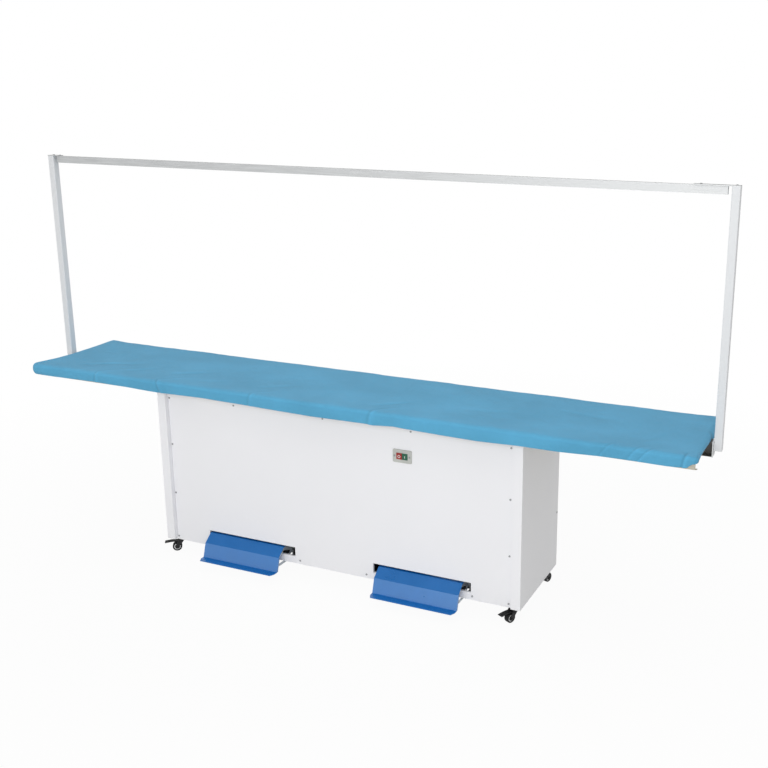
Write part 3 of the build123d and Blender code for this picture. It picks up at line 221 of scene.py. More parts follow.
def put_grid(name, points, closed_u=True, closed_v=False, uv=None, crease_shade=None):
    """A mesh object from a grid of points: faces join each point to its next along u and along v.

    With closed_u or closed_v the last row or column joins the first. Points that fall together,
    such as a pole or a spine, are merged, and faces that have no area go.
    """
    rows, columns = points.shape[:2]
    index = np.arange(rows * columns).reshape(rows, columns)
    u = np.arange(rows if closed_u else rows - 1)
    v = np.arange(columns if closed_v else columns - 1)
    a = index[np.ix_(u, v)]
    b = index[np.ix_((u + 1) % rows, v)]
    c = index[np.ix_((u + 1) % rows, (v + 1) % columns)]
    d = index[np.ix_(u, (v + 1) % columns)]
    quads = np.stack([a, b, c, d], axis=-1).reshape(-1, 4)
    mesh = bpy.data.meshes.new(name)
    mesh.vertices.add(rows * columns)
    mesh.vertices.foreach_set("co", points.reshape(-1).astype(np.float32))
    mesh.loops.add(quads.size)
    mesh.loops.foreach_set("vertex_index", quads.reshape(-1).astype(np.int32))
    mesh.polygons.add(len(quads))
    mesh.polygons.foreach_set("loop_start", np.arange(0, quads.size, 4, dtype=np.int32))
    mesh.update(calc_edges=True)
    if uv is not None:
        layer = mesh.uv_layers.new(name="flat")
        corners = uv.reshape(-1, 2)[quads.reshape(-1)]
        layer.uv.foreach_set("vector", corners.reshape(-1).astype(np.float32))
    if crease_shade is not None:
        mesh.attributes.new("crease_shade", "FLOAT", "POINT").data.foreach_set(
            "value", crease_shade.reshape(-1).astype(np.float32))
    same_point, no_edge = 1e-6, 1e-7
    edit = bmesh.new()
    edit.from_mesh(mesh)
    bmesh.ops.remove_doubles(edit, verts=edit.verts, dist=same_point)
    bmesh.ops.dissolve_degenerate(edit, edges=edit.edges, dist=no_edge)
    edit.to_mesh(mesh)
    edit.free()
    mesh.polygons.foreach_set("use_smooth", np.full(len(mesh.polygons), True))
    mesh.validate()
    mesh.update()
    obj = bpy.data.objects.new(name, mesh)
    bpy.context.scene.collection.objects.link(obj)
    return obj


def packed_run(reach, run):
    """Places along a long side, from end to end, closer together where the folds start."""
    samples, extra, spread = 6001, 3, 0.03
    x = np.linspace(-reach, reach, samples)
    near = np.exp(-((x[:, None] - folds[:, 0]) / spread) ** 2).sum(axis=1)
    density = 1 + extra * near
    passed = np.concatenate([[0], np.cumsum((density[1:] + density[:-1]) / 2)])
    return np.interp(np.linspace(0, passed[-1], run + 1), passed, x)


def plan_outline(half_x, half_y, corner, step, turn=8):
    """Points and outward normals round a rounded rectangle, counterclockwise from above.

    Each side is a straight run, packed closer at the folds along the front and at the same
    places along the back, and each corner is a quarter circle of so many turns.
    """
    reach_x, reach_y = half_x - corner, half_y - corner
    run_x, run_y = (int(round(2 * reach / step)) for reach in (reach_x, reach_y))
    packed = packed_run(reach_x, run_x) / reach_x
    places, normals = [], []
    for nx, ny, run in ((0, -1, run_x), (1, 0, run_y), (0, 1, run_x), (-1, 0, run_y)):
        if ny == 0:
            along = np.linspace(-1, 1, run + 1)[:-1] * reach_y
        else:
            along = (packed[:-1] if ny < 0 else -packed[:0:-1]) * reach_x
        tx, ty = -ny, nx
        places.append(as_arrays(nx * half_x + tx * along, ny * half_y + ty * along))
        normals.append(as_arrays(np.full(run, float(nx)), np.full(run, float(ny))))
        angle = math.atan2(ny, nx) + np.linspace(0, math.pi / 2, turn + 1)[:-1]
        centre_x, centre_y = (nx + tx) * reach_x, (ny + ty) * reach_y
        places.append(as_arrays(centre_x + corner * np.cos(angle),
                                centre_y + corner * np.sin(angle)))
        normals.append(as_arrays(np.cos(angle), np.sin(angle)))
    place = np.concatenate(places) + np.array([0, bed_mid])
    return place, np.concatenate(normals)


def smooth_step(value, low, high):
    """Rises from 0 to 1 between low and high along 3t^2 - 2t^3."""
    t = np.clip((value - low) / (high - low), 0, 1)
    return t * t * (3 - 2 * t)


def ripples(x, y, seed, count, short, long):
    """A sum of sine waves of random heading, length and phase, scaled to about -1 to 1."""
    rng = np.random.default_rng(seed)
    headings = rng.uniform(0, math.pi, count)
    lengths = rng.uniform(short, long, count)
    phases = rng.uniform(0, 2 * math.pi, count)
    total = np.zeros(np.broadcast(x, y).shape)
    for heading, length, phase in zip(headings, lengths, phases):
        wave = 2 * math.pi / length
        total += np.sin(wave * (x * math.cos(heading) + y * math.sin(heading)) + phase)
    return total / math.sqrt(2 * count)


def hem_height(place, normal, settings):
    """Height of the hem round the cover: measured along the front and the ends, level at the back.

    The three are blended by how far the outward normal points to the front, the back or an end.
    """
    x, y = place[:, 0], place[:, 1]
    front = np.interp(x, *front_hem.T)
    back = settings.back_hem + back_wander * ripples(x, y * 0, *back_ripples)
    end = np.interp(y, *end_hem.T)
    to_front = np.clip(-normal[:, 1], 0, 1)
    to_back = np.clip(normal[:, 1], 0, 1)
    level = end + (front - end) * smooth_step(to_front, 0.0, 1.0)
    return level + (back - level) * smooth_step(to_back, 0.0, 1.0)


def fold_profile(away):
    """A fold's cross-section: a valley on its line and a lower, broader ridge beside it.

    Both are bell curves of the distance from the line, in widths of the valley.
    """
    ridge, place, spread = 0.8, 1.6, 1.5
    return ridge * np.exp(-((away - place) / spread) ** 2) - np.exp(-away ** 2)


def cloth_relief(u, v):
    """Height and shade of the folds over the flat cloth.

    A fold's line leaves the hem at its place, climbs the skirt nearly upright and slants over the
    top, where it broadens and fades out. A stroke is a short straight line on the top. The shade
    is positive in a valley, where it reaches 1 at full_shade, and negative on a ridge.
    """
    broader, fade_from, stroke_shade = 3, 0.15, 0.5
    # the crease shade becomes painted shade in the cloth's colour in valleys and a painted
    # highlight on ridges
    height, crease_shade = np.zeros(u.shape), np.zeros(u.shape)
    near = v < bed_mid
    climb = np.clip(v - top_edge, 0, None)
    drop = np.clip(v - top_edge, None, 0)
    for place, depth, width, run, slant, lean in folds:
        line = place + lean * drop + slant * climb
        shape = fold_profile((u - line) / (width * (1 + broader * climb / run)))
        part = near * (1 - smooth_step(climb, fade_from * run, run))
        height += part * depth * shape
        crease_shade -= part * depth / full_shade * shape
    for x, y, length, heading, width, depth in strokes:
        along = (u - x) * math.cos(heading) + (v - y) * math.sin(heading)
        across = (v - y) * math.cos(heading) - (u - x) * math.sin(heading)
        shape = fold_profile(across / width)
        part = np.exp(-(2 * along / length) ** 4)
        height += part * depth * stroke_height * shape
        crease_shade -= part * depth * stroke_shade * shape
    return height, crease_shade


def crown_rise(settings, y):
    """The padded top's rise from its middle to its back."""
    return settings.crown * smooth_step(y, -0.05, 0.2)


def rolled_section(start, roll, top, settings):
    """The cross-section from above the hem's turn, up the skirt and over a quarter ellipse.

    Gives each point's inset from the outline, its height, the cloth from there to the level top,
    and its lean, which is 0 on the upright skirt and a right angle on the top.
    """
    out, down = settings.roll_out, settings.roll_down
    roll_low = top - down
    angle = np.linspace(0, math.pi / 2, 200)
    chords = np.hypot(np.diff(out * np.cos(angle)), np.diff(down * np.sin(angle)))
    length = np.concatenate([[0], np.cumsum(chords)])
    first = np.arcsin(np.clip((start - roll_low) / down, 0, 1))
    straight = np.clip(roll_low - start, 0, None)
    passed = np.interp(first, angle, length)
    whole = straight + length[-1] - passed
    along = np.linspace(0, 1, 27)[None, :] * whole
    bend = np.interp(passed + along - straight, length, angle)
    bend = np.where(along < straight, 0, bend)
    inset = -roll * (1 - np.cos(bend))
    level = np.where(along < straight, start + along, roll_low + down * np.sin(bend))
    lean = np.arctan2(np.sin(bend) / down, np.cos(bend) / out)
    return inset, level, whole - along, lean


def hem_section(hem, inset, whole, settings):
    """The cross-section from the tucked edge round the hem's turn: inset, height and cloth."""
    turn = settings.hem_round
    arc = np.linspace(math.pi / 2, 0, 6)[None, :-1]
    share = np.linspace(1, 0, 4)[None, :-1]
    tuck = tuck_least + settings.hem_under * (1 - smooth_step(hem, tucked_hem, open_hem))
    tucked = (inset - turn - tuck * share,
              hem + tuck_rise * share,
              whole + turn * math.pi / 2 + tuck * share)
    turned_in = (inset - turn + turn * np.cos(arc),
                 hem + turn - turn * np.sin(arc),
                 whole + turn * arc)
    return [np.concatenate(pair, axis=1) for pair in zip(tucked, turned_in)]


def to_spine(x, y, place_x, reach, count):
    """Points from a ring to its spine, which lies along the middle and ends at the given reach."""
    spine_x = np.clip(place_x, -reach, reach)
    inward = np.linspace(0, 1, count)[None, 1:]
    return x + (spine_x - x) * inward, y + (bed_mid - y) * inward


def cover_surface(settings):
    """Points of the cloth and the same points on the flat cloth, as two grids, and its shade.

    Round the plan outline, each cross-section runs from the tucked hem round its small turn, up
    the skirt, over a quarter ellipse and level to the spine of the top. Ripples and folds move
    the points along the section's own normal.
    """
    half_x = (skirt_high.x - skirt_low.x) / 2
    half_y = (skirt_high.y - skirt_low.y) / 2
    top = skirt_high.z - cover_sink
    out, down = settings.roll_out, settings.roll_down
    place, normal = plan_outline(half_x, half_y, settings.corner, step=0.0062)
    place_x, place_y = place[:, :1], place[:, 1:]
    normal_x, normal_y = normal[:, :1], normal[:, 1:]
    from_corner = np.maximum(half_x - abs(place_x), half_y - abs(place_y - bed_mid))
    grown = smooth_step(from_corner, settings.corner, full_roll)
    roll = corner_roll + (out - corner_roll) * grown
    hem = hem_height(place, normal, settings)[:, None]

    *upper, lean = rolled_section(hem + settings.hem_round, roll, top, settings)
    lower = hem_section(hem, upper[0][:, :1], upper[2][:, :1], settings)
    inset, level, fall = (np.concatenate(pair, axis=1) for pair in zip(lower, upper))
    lean = np.pad(lean, ((0, 0), (lower[0].shape[1], 0)))
    flat_u = place_x - out * normal_x + normal_x * fall
    flat_v = place_y - out * normal_y + normal_y * fall
    x = place_x + normal_x * inset
    y = place_y + normal_y * inset

    top_x, top_y = to_spine(x[:, -1:], y[:, -1:], place_x, half_x - half_y, 35)
    x = np.concatenate([x, top_x], axis=1)
    y = np.concatenate([y, top_y], axis=1)
    z = np.concatenate([level, np.full(top_x.shape, top)], axis=1)
    flat_u = np.concatenate([flat_u, top_x], axis=1)
    flat_v = np.concatenate([flat_v, top_y], axis=1)
    lean = np.concatenate([lean, np.full(top_x.shape, math.pi / 2)], axis=1)

    fine_share, puff_shape = 0.35, 0.7
    height, crease_shade = cloth_relief(flat_u, flat_v)
    rise = settings.ripple * ripples(flat_u, flat_v, *broad_ripples)
    rise += fine_share * settings.ripple * ripples(flat_u, flat_v, *fine_ripples)
    rise += height
    upright = np.cos(lean)
    swell = np.clip((z - hem) / bulge_height, 0, 0.999)
    rise += settings.bulge * upright * np.sin(math.pi * swell)
    rise = np.where(z < top - edge_margin, np.maximum(rise, -deepest), rise)
    near = np.exp(-(np.hypot(x + half_x, y - bed_mid + half_y) / puff_reach) ** 2)
    rise += settings.puff * near * np.sqrt(upright) * np.sin(math.pi * swell ** puff_shape)
    x += normal_x * rise * upright
    y += normal_y * rise * upright
    on_roll = np.clip((z - (top - down)) / down, 0, 1)
    z += rise * np.sin(lean) + crown_rise(settings, y) * on_roll
    return as_arrays(x, y, z), as_arrays(flat_u, flat_v), crease_shade


def felt_surface(settings):
    """Points of the felt: a level slab with a rounded rim, closed along its upper and lower spine.

    The rim's cross-section is a half superellipse, and the upper face carries the cloth's ripples.
    """
    half_x = (felt_high.x - felt_low.x) / 2
    half_y = (felt_high.y - felt_low.y) / 2
    low, high = felt_low.z, skirt_high.z - felt_sink
    middle, thick, power = (low + high) / 2, (high - low) / 2, 0.7
    place, normal = plan_outline(half_x, half_y, felt_corner, step=0.02, turn=5)
    angle = np.linspace(-math.pi / 2, math.pi / 2, 11)[None, :]
    inset = -felt_rim * (1 - np.abs(np.cos(angle)) ** power)
    height = middle + thick * np.sign(np.sin(angle)) * np.abs(np.sin(angle)) ** power
    x = place[:, :1] + normal[:, :1] * inset
    y = place[:, 1:] + normal[:, 1:] * inset
    rim_z = np.broadcast_to(height, x.shape)
    over_x, over_y = to_spine(x[:, -1:], y[:, -1:], place[:, :1], half_x - half_y, 13)
    x = np.concatenate([over_x[:, ::-1], x, over_x], axis=1)
    y = np.concatenate([over_y[:, ::-1], y, over_y], axis=1)
    flat = np.ones(over_x.shape)
    z = np.concatenate([low * flat, rim_z, high * flat], axis=1)
    waves = settings.ripple * ripples(x, y, *broad_ripples)
    z += smooth_step(z, middle, high) * (waves - felt_clear + crown_rise(settings, y))
    return as_arrays(x, y, z), as_arrays(x, y)


def turned(profile, count, centre, axis):
    """A profile of radius and distance along the axle, carried round that axle in even steps."""
    axis = np.array(axis, float) / np.linalg.norm(axis)
    side = np.cross([0, 0, 1.0], axis)
    side /= np.linalg.norm(side)
    rise = np.cross(axis, side)
    angle = np.linspace(0, 2 * math.pi, count, endpoint=False)[:, None, None]
    radius = profile[None, :, :1]
    run = profile[None, :, 1:]
    spoke = np.cos(angle) * side + np.sin(angle) * rise
    return np.array(centre) + radius * spoke + run * axis


def add_node(tree, kind, **values):
    """A shader node with its settings; a value whose name is an input's goes into that input."""
    node = tree.nodes.new(kind)
    for key, value in values.items():
        name = key.replace("_", " ").title()
        if hasattr(node, key):
            setattr(node, key, value)
        elif name in node.inputs:
            node.inputs[name].default_value = value
        else:
            raise ValueError(f"{kind} has no {key}")
    return node


def new_finish(name, **constants):
    """A material with its shader's constants set, ready for its patterns."""
    material = bpy.data.materials.new(name)
    material.use_nodes = True
    shader = material.node_tree.nodes["Principled BSDF"]
    for key, value in constants.items():
        shader.inputs[key.replace("_", " ")].default_value = value
    return material, material.node_tree, shader


def speckle(tree, source, scale, detail=3.0, stretch=(1, 1, 1), roughness=0.5):
    """Noise over the given coordinates, stretched along the axes."""
    turn = add_node(tree, "ShaderNodeMapping")
    turn.inputs["Scale"].default_value = stretch
    tree.links.new(source, turn.inputs["Vector"])
    noise = add_node(tree, "ShaderNodeTexNoise", scale=scale, detail=detail, roughness=roughness)
    tree.links.new(turn.outputs["Vector"], noise.inputs["Vector"])
    return noise.outputs["Fac"]


def between(tree, factor, low, high, start=0.3, end=0.7):
    """The factor, from start to end, as a number from low to high."""
    node = add_node(tree, "ShaderNodeMapRange")
    tree.links.new(factor, node.inputs["Value"])
    for name, value in (("From Min", start), ("From Max", end), ("To Min", low), ("To Max", high)):
        node.inputs[name].default_value = value
    return node.outputs["Result"]


def shade(tree, factor, low, high, start=0.3, end=0.7):
    """The factor, from start to end, as a colour from low to high."""
    node = add_node(tree, "ShaderNodeValToRGB")
    node.color_ramp.elements[0].position = start
    node.color_ramp.elements[0].color = (*low, 1)
    node.color_ramp.elements[1].position = end
    node.color_ramp.elements[1].color = (*high, 1)
    tree.links.new(factor, node.inputs["Fac"])
    return node.outputs["Color"]


def combine(tree, way, a, b):
    """One step of arithmetic on two numbers or outputs."""
    node = add_node(tree, "ShaderNodeMath", operation=way)
    for socket, value in zip(node.inputs, (a, b)):
        if isinstance(value, (int, float)):
            socket.default_value = value
        else:
            tree.links.new(value, socket)
    return node.outputs["Value"]


def relief(tree, shader, height, distance, strength=1.0, under=None):
    """A bump of the given depth in metres, over an earlier one if there is one."""
    node = add_node(tree, "ShaderNodeBump", strength=strength, distance=distance)
    tree.links.new(height, node.inputs["Height"])
    if under is not None:
        tree.links.new(under, node.inputs["Normal"])
    tree.links.new(node.outputs["Normal"], shader.inputs["Normal"])
    return node.outputs["Normal"]


def object_places(tree):
    """Places on the piece itself, so that its finish moves with it."""
    return add_node(tree, "ShaderNodeTexCoord").outputs["Object"]


def scaled(colour, factor):
    """The colour made lighter or darker, with no channel over 1."""
    return tuple(min(1.0, c * factor) for c in colour)


def paint(name, colour, rough, spread=0.015):
    """Sprayed paint: very faint clouding, a fine orange peel and slight changes of gloss."""
    material, tree, shader = new_finish(name)
    source = object_places(tree)
    cloud = speckle(tree, source, 1.9)
    tree.links.new(shade(tree, cloud, scaled(colour, 1 - spread), scaled(colour, 1 + spread / 2)),
                   shader.inputs["Base Color"])
    gloss = speckle(tree, source, 5.0)
    tree.links.new(between(tree, gloss, rough - 0.02, rough + 0.03), shader.inputs["Roughness"])
    waves = relief(tree, shader, cloud, 0.0008, strength=0.2)
    peel = speckle(tree, source, 420.0, detail=2.0)
    relief(tree, shader, peel, 0.000012, under=waves)
    return material


def pedal_paint(name, colour):
    """Gloss enamel with soft scuffs where shoes rub it."""
    material, tree, shader = new_finish(name, Specular_IOR_Level=1.0, IOR=1.6)
    shader.inputs["Specular Tint"].default_value = (0.8, 0.97, 1.0, 1.0)
    source = object_places(tree)
    scuff = speckle(tree, source, 14.0, detail=4.0)
    cloud = speckle(tree, source, 6.0)
    both = combine(tree, "MULTIPLY", scuff, cloud)
    tree.links.new(shade(tree, both, scaled(colour, 0.97), scaled(colour, 1.06), 0.15, 0.45),
                   shader.inputs["Base Color"])
    tree.links.new(between(tree, scuff, 0.27, 0.33), shader.inputs["Roughness"])
    waves = relief(tree, shader, cloud, 0.0012, strength=0.3)
    peel = speckle(tree, source, 300.0, detail=2.0)
    relief(tree, shader, peel, 0.00002, under=waves)
    return material


def galvanised(name, colour):
    """Zinc coated sheet with its spangle: flat crystals a centimetre across, each its own grey."""
    material, tree, shader = new_finish(name, Metallic=0.85)
    source = object_places(tree)
    crystal = add_node(tree, "ShaderNodeTexVoronoi", scale=85.0)
    tree.links.new(source, crystal.inputs["Vector"])
    grey = add_node(tree, "ShaderNodeSeparateColor")
    tree.links.new(crystal.outputs["Color"], grey.inputs["Color"])
    tone = shade(tree, grey.outputs["Red"], scaled(colour, 0.82), scaled(colour, 1.1), 0, 1)
    tree.links.new(tone, shader.inputs["Base Color"])
    gloss = between(tree, grey.outputs["Green"], 0.32, 0.52, 0, 1)
    tree.links.new(gloss, shader.inputs["Roughness"])
    relief(tree, shader, crystal.outputs["Distance"], 0.00008)
    return material


def plated(name, colour, rough=0.3, streak=(1, 1, 1), metal=0.9):
    """Plated or drawn metal: fine streaks in colour and gloss."""
    material, tree, shader = new_finish(name, Metallic=metal)
    source = object_places(tree)
    line = speckle(tree, source, 160.0, detail=4.0, stretch=streak)
    tree.links.new(shade(tree, line, scaled(colour, 0.88), scaled(colour, 1.08)),
                   shader.inputs["Base Color"])
    tree.links.new(between(tree, line, rough - 0.06, rough + 0.1), shader.inputs["Roughness"])
    relief(tree, shader, line, 0.00004)
    return material


def moulded(name, colour, rough=0.42, grain_size=900.0, depth=0.00003, shine=0.5):
    """Moulded plastic or lacquer with a fine even grain."""
    material, tree, shader = new_finish(name, Specular_IOR_Level=shine)
    source = object_places(tree)
    cloud = speckle(tree, source, 25.0)
    tree.links.new(shade(tree, cloud, scaled(colour, 0.92), scaled(colour, 1.06)),
                   shader.inputs["Base Color"])
    grain = speckle(tree, source, grain_size, detail=2.0)
    tree.links.new(between(tree, grain, rough - 0.05, rough + 0.08), shader.inputs["Roughness"])
    relief(tree, shader, grain, depth)
    return material


def woven(name, colour, pitch):
    """Plain woven cotton on the flat cloth's own coordinates.

    The weave's height is the product of one sine across and one along the threads, over slubs
    and soft puckers; thick threads are a little darker, and short fibres give a faint sheen.
    """
    material, tree, shader = new_finish(name, Sheen_Weight=0.18, Sheen_Roughness=0.45,
                                        Roughness=0.82, Specular_IOR_Level=0.25)
    shader.inputs["Sheen Tint"].default_value = (0.85, 0.93, 1.0, 1.0)
    flat = add_node(tree, "ShaderNodeUVMap", uv_map="flat").outputs["UV"]
    split = add_node(tree, "ShaderNodeSeparateXYZ")
    tree.links.new(flat, split.inputs["Vector"])
    wave = math.pi / pitch  # one whole wave over two threads
    across = combine(tree, "SINE", combine(tree, "MULTIPLY", split.outputs["X"], wave), 0.0)
    along = combine(tree, "SINE", combine(tree, "MULTIPLY", split.outputs["Y"], wave), 0.0)
    weave = combine(tree, "MULTIPLY", across, along)
    slub_a = speckle(tree, flat, 1.0, stretch=(30.0, 1100.0, 1.0))
    slub_b = speckle(tree, flat, 1.0, stretch=(1100.0, 30.0, 1.0))
    slub = combine(tree, "ADD", slub_a, slub_b)
    cloud = speckle(tree, flat, 3.0, detail=4.0, stretch=(1.0, 1.6, 1.0))
    tone = combine(tree, "ADD", combine(tree, "MULTIPLY", slub, 0.35),
                   combine(tree, "MULTIPLY", cloud, 0.65))
    dye_and_shade = add_node(tree, "ShaderNodeVectorMath", operation="SCALE")
    tree.links.new(shade(tree, tone, scaled(colour, 0.89), scaled(colour, 1.09), 0.52, 0.82),
                   dye_and_shade.inputs[0])
    # painted shade in the folds' valleys and a painted highlight on their ridges: the crease shade
    # scales the cloth's colour between 1.10 and 0.76
    crease_shade = add_node(tree, "ShaderNodeAttribute", attribute_name="crease_shade").outputs["Fac"]
    tree.links.new(between(tree, crease_shade, 1.10, 0.76, -0.5, 1.0), dye_and_shade.inputs["Scale"])
    tree.links.new(dye_and_shade.outputs["Vector"], shader.inputs["Base Color"])
    pucker = speckle(tree, flat, 17.0, stretch=(1.0, 1.4, 1.0), roughness=0.6)
    soft = relief(tree, shader, pucker, 0.0035, strength=0.8)
    threads = combine(tree, "ADD", weave, combine(tree, "MULTIPLY", slub, 0.8))
    relief(tree, shader, threads, 0.00018, strength=0.9, under=soft)
    return material


def needled(name, colour):
    """Needle felt: matted fibres of two sizes."""
    material, tree, shader = new_finish(name, Roughness=0.95, Sheen_Weight=0.3)
    source = object_places(tree)
    fibre = speckle(tree, source, 500.0, detail=6.0, roughness=0.7)
    tuft = speckle(tree, source, 90.0, detail=4.0)
    tree.links.new(shade(tree, tuft, scaled(colour, 0.88), scaled(colour, 1.08)),
                   shader.inputs["Base Color"])
    relief(tree, shader, combine(tree, "ADD", fibre, tuft), 0.0006)
    return material


def bracket_paint_and_shade(name, plate, inside, plate_from=1.5085, colour_step=0.0004):
    """Sprayed end plate, with painted shade as a near-black colour in the channel beside it, split
    by the distance from the middle.
    """
    material, tree, shader = new_finish(name)
    source = object_places(tree)
    split = add_node(tree, "ShaderNodeSeparateXYZ")
    tree.links.new(source, split.inputs["Vector"])
    away = combine(tree, "ABSOLUTE", split.outputs["X"], 0.0)
    on_plate = between(tree, away, 0.0, 1.0, plate_from, plate_from + colour_step)
    cloud = speckle(tree, source, 30.0)
    mix = add_node(tree, "ShaderNodeMixRGB")
    tree.links.new(on_plate, mix.inputs["Fac"])
    # painted shade: the channel gets this dark colour in place of its shadow
    dark = shade(tree, cloud, scaled(inside, 0.85), scaled(inside, 1.1))
    tree.links.new(dark, mix.inputs["Color1"])
    pale = shade(tree, cloud, scaled(plate, 0.98), scaled(plate, 1.01))
    tree.links.new(pale, mix.inputs["Color2"])
    tree.links.new(mix.outputs["Color"], shader.inputs["Base Color"])
    tree.links.new(between(tree, cloud, 0.42, 0.5), shader.inputs["Roughness"])
    return material


def all_finishes(settings):
    """Every finish of the record's material slots, by the slot's name."""
    return {
        "tray_paint": paint("tray_paint", settings.tray, 0.5, spread=0.04),
        "galvanised_sheet": galvanised("galvanised_sheet", (0.38, 0.39, 0.40)),
        "cabinet_paint": paint("cabinet_paint", settings.cabinet, 0.30),
        "gantry_paint": paint("gantry_paint", settings.gantry, 0.42),
        "rail_metal": plated("rail_metal", settings.rail, 0.48, streak=(0.05, 1, 1), metal=0.6),
        "zinc_steel": plated("zinc_steel", (0.34, 0.35, 0.36), 0.36),
        "spring_steel": plated("spring_steel", (0.40, 0.41, 0.43), 0.35),
        "switch_body": moulded("switch_body", settings.switch, 0.4),
        "stop_red": moulded("stop_red", (0.30, 0.016, 0.014), 0.3),
        "start_green": moulded("start_green", (0.008, 0.10, 0.052), 0.3),
        "pedal_blue": pedal_paint("pedal_blue", settings.pedal),
        "arm_paint": paint("arm_paint", settings.arm, 0.35, spread=0.04),
        "black_plastic": moulded("black_plastic", (0.012, 0.012, 0.013), 0.5, shine=0.25),
        "fan_paint": paint("fan_paint", (0.16, 0.19, 0.22), 0.4, spread=0.06),
        "impeller_metal": plated("impeller_metal", (0.6, 0.6, 0.62), streak=(1, 1, 0.2)),
        "caster_black": moulded("caster_black", (0.009, 0.009, 0.010), grain_size=500.0,
                                depth=0.00005, shine=0.3),
    }


class CoverBuild(bpy.types.Operator):
    """Make the fitted cloth cover and lay its weave over the flat cloth"""

    bl_idname = "ironing_table.cover"
    bl_label = "Cloth cover"

    def execute(self, context):
        settings = context.scene.cover_settings
        points, flat, crease_shade = cover_surface(settings)
        cover = put_grid("cloth_cover", points, uv=flat, crease_shade=crease_shade)
        cover.data.materials.append(woven("cover_cloth", settings.cloth, settings.thread))
        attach(cover, "table")
        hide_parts("ironing_cover", "cover_skirt")
        return {"FINISHED"}


class FeltBuild(bpy.types.Operator):
    """Make the felt between the perforated plate and the cloth"""

    bl_idname = "ironing_table.felt"
    bl_label = "Felt"

    def execute(self, context):
        settings = context.scene.cover_settings
        points, flat = felt_surface(settings)
        felt = put_grid("felt_layer", points, uv=flat)
        felt.data.materials.append(needled("felt", settings.felt))
        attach(felt, "table")
        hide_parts("felt_pad")
        return {"FINISHED"}


class WheelBuild(bpy.types.Operator):
    """Turn the four wheels, each with a grooved black tread and a pale hub"""

    bl_idname = "ironing_table.wheels"
    bl_label = "Wheels"

    def execute(self, context):
        settings = context.scene.caster_settings
        tread = moulded("wheel_rubber", settings.tread, 0.6, grain_size=700.0, depth=0.00006,
                        shine=0.2)
        hub = moulded("wheel_hub", settings.hub, 0.4)
        joints = {j["name"]: j for j in frame["record"]["behaviour"]["joints"]}
        # Each point of the wheel's section is a radius and a distance along the axle.
        rim, half, bead, dip = 0.0205, 0.011, 0.003, settings.groove
        turn = np.linspace(0, math.pi / 2, 6)
        shoulder = np.stack([rim - bead + bead * np.sin(turn),
                             half - bead + bead * np.cos(turn)], 1)
        groove = np.array([(rim, 0.0062), (rim - dip, 0.0056), (rim - dip, 0.0044), (rim, 0.0038)])
        outer = np.array([(0.0150, half), (0.0156, half)])
        hub_side = np.array([
            (0.00405, 0.0130), (0.0074, 0.0130), (0.0080, 0.0124), (0.0083, 0.0092),
            (0.0096, 0.0086), (0.0104, 0.0094), (0.0120, 0.0098), (0.0136, 0.0094),
            (0.0142, 0.0086), (0.0147, 0.0104),
        ])
        upper = np.concatenate([hub_side, outer, shoulder, groove])
        profile = np.concatenate([upper, upper[::-1] * (1, -1)])
        for name in ("fl", "fr", "bl", "br"):
            joint = joints[f"wheel_{name}_roll"]
            points = turned(profile[::-1], 56, joint["pos_m"], joint["axis"])
            wheel = put_grid(f"wheel_{name}", points, closed_v=True)
            wheel.data.materials.append(tread)
            wheel.data.materials.append(hub)
            self.paint_hub(wheel, joint)
            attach(wheel, f"wheel_{name}")
            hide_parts(f"caster_wheel_{name}")
        return {"FINISHED"}

    @staticmethod
    def paint_hub(wheel, joint):
        """Give the raised ring between the tyre and the boss its pale finish."""
        ring_from, ring_to = 0.0100, 0.0141
        mesh = wheel.data
        centres = np.empty(len(mesh.polygons) * 3)
        mesh.polygons.foreach_get("center", centres)
        away = centres.reshape(-1, 3) - np.array(joint["pos_m"])
        axis = np.array(joint["axis"], float)
        radius = np.linalg.norm(away - np.outer(away @ axis, axis), axis=1)
        on_ring = (radius > ring_from) & (radius < ring_to)
        mesh.polygons.foreach_set("material_index", on_ring.astype(np.int32))


class MarkBuild(bpy.types.Operator):
    """Raise the plain off ring and on bar on the two push buttons"""

    bl_idname = "ironing_table.marks"
    bl_label = "Button marks"

    def execute(self, context):
        white = moulded("mark_white", (0.80, 0.80, 0.78), 0.4)
        low, high = (Vector(p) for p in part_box("stop_button"))
        proud, reach, drop = 0.0004, 0.005, 0.0015
        ring_half, bar_half = 0.0010, 0.0012
        centre = ((low.x + high.x) / 2, low.y, (low.z + high.z) / 2 - drop)
        turn = np.linspace(0, 2 * math.pi, 12, endpoint=False)
        ring = np.stack([reach + ring_half * np.cos(turn), proud * np.sin(turn)], 1)
        off = put_grid("off_ring", turned(ring, 40, centre, (0, 1, 0)), closed_v=True)
        low, high = (Vector(p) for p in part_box("start_button"))
        bar = np.stack([bar_half * np.cos(turn), proud * np.sin(turn)], 1)[None]
        rise = np.linspace(-reach, reach, 9)[:, None]
        taper = np.sqrt(np.clip(1 - (rise / reach) ** 8, 0, 1))
        x = (low.x + high.x) / 2 + bar[..., 0] * taper
        y = low.y + bar[..., 1] * taper
        z = (low.z + high.z) / 2 - drop + rise + 0 * x
        on = put_grid("on_bar", as_arrays(x, y, z), closed_u=False, closed_v=True)
        for mark, body, slot in ((off, "stop_push_button", "stop_red"),
                                 (on, "start_push_button", "start_green")):
            mark.data.materials.append(white)
            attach(mark, body)
        return {"FINISHED"}


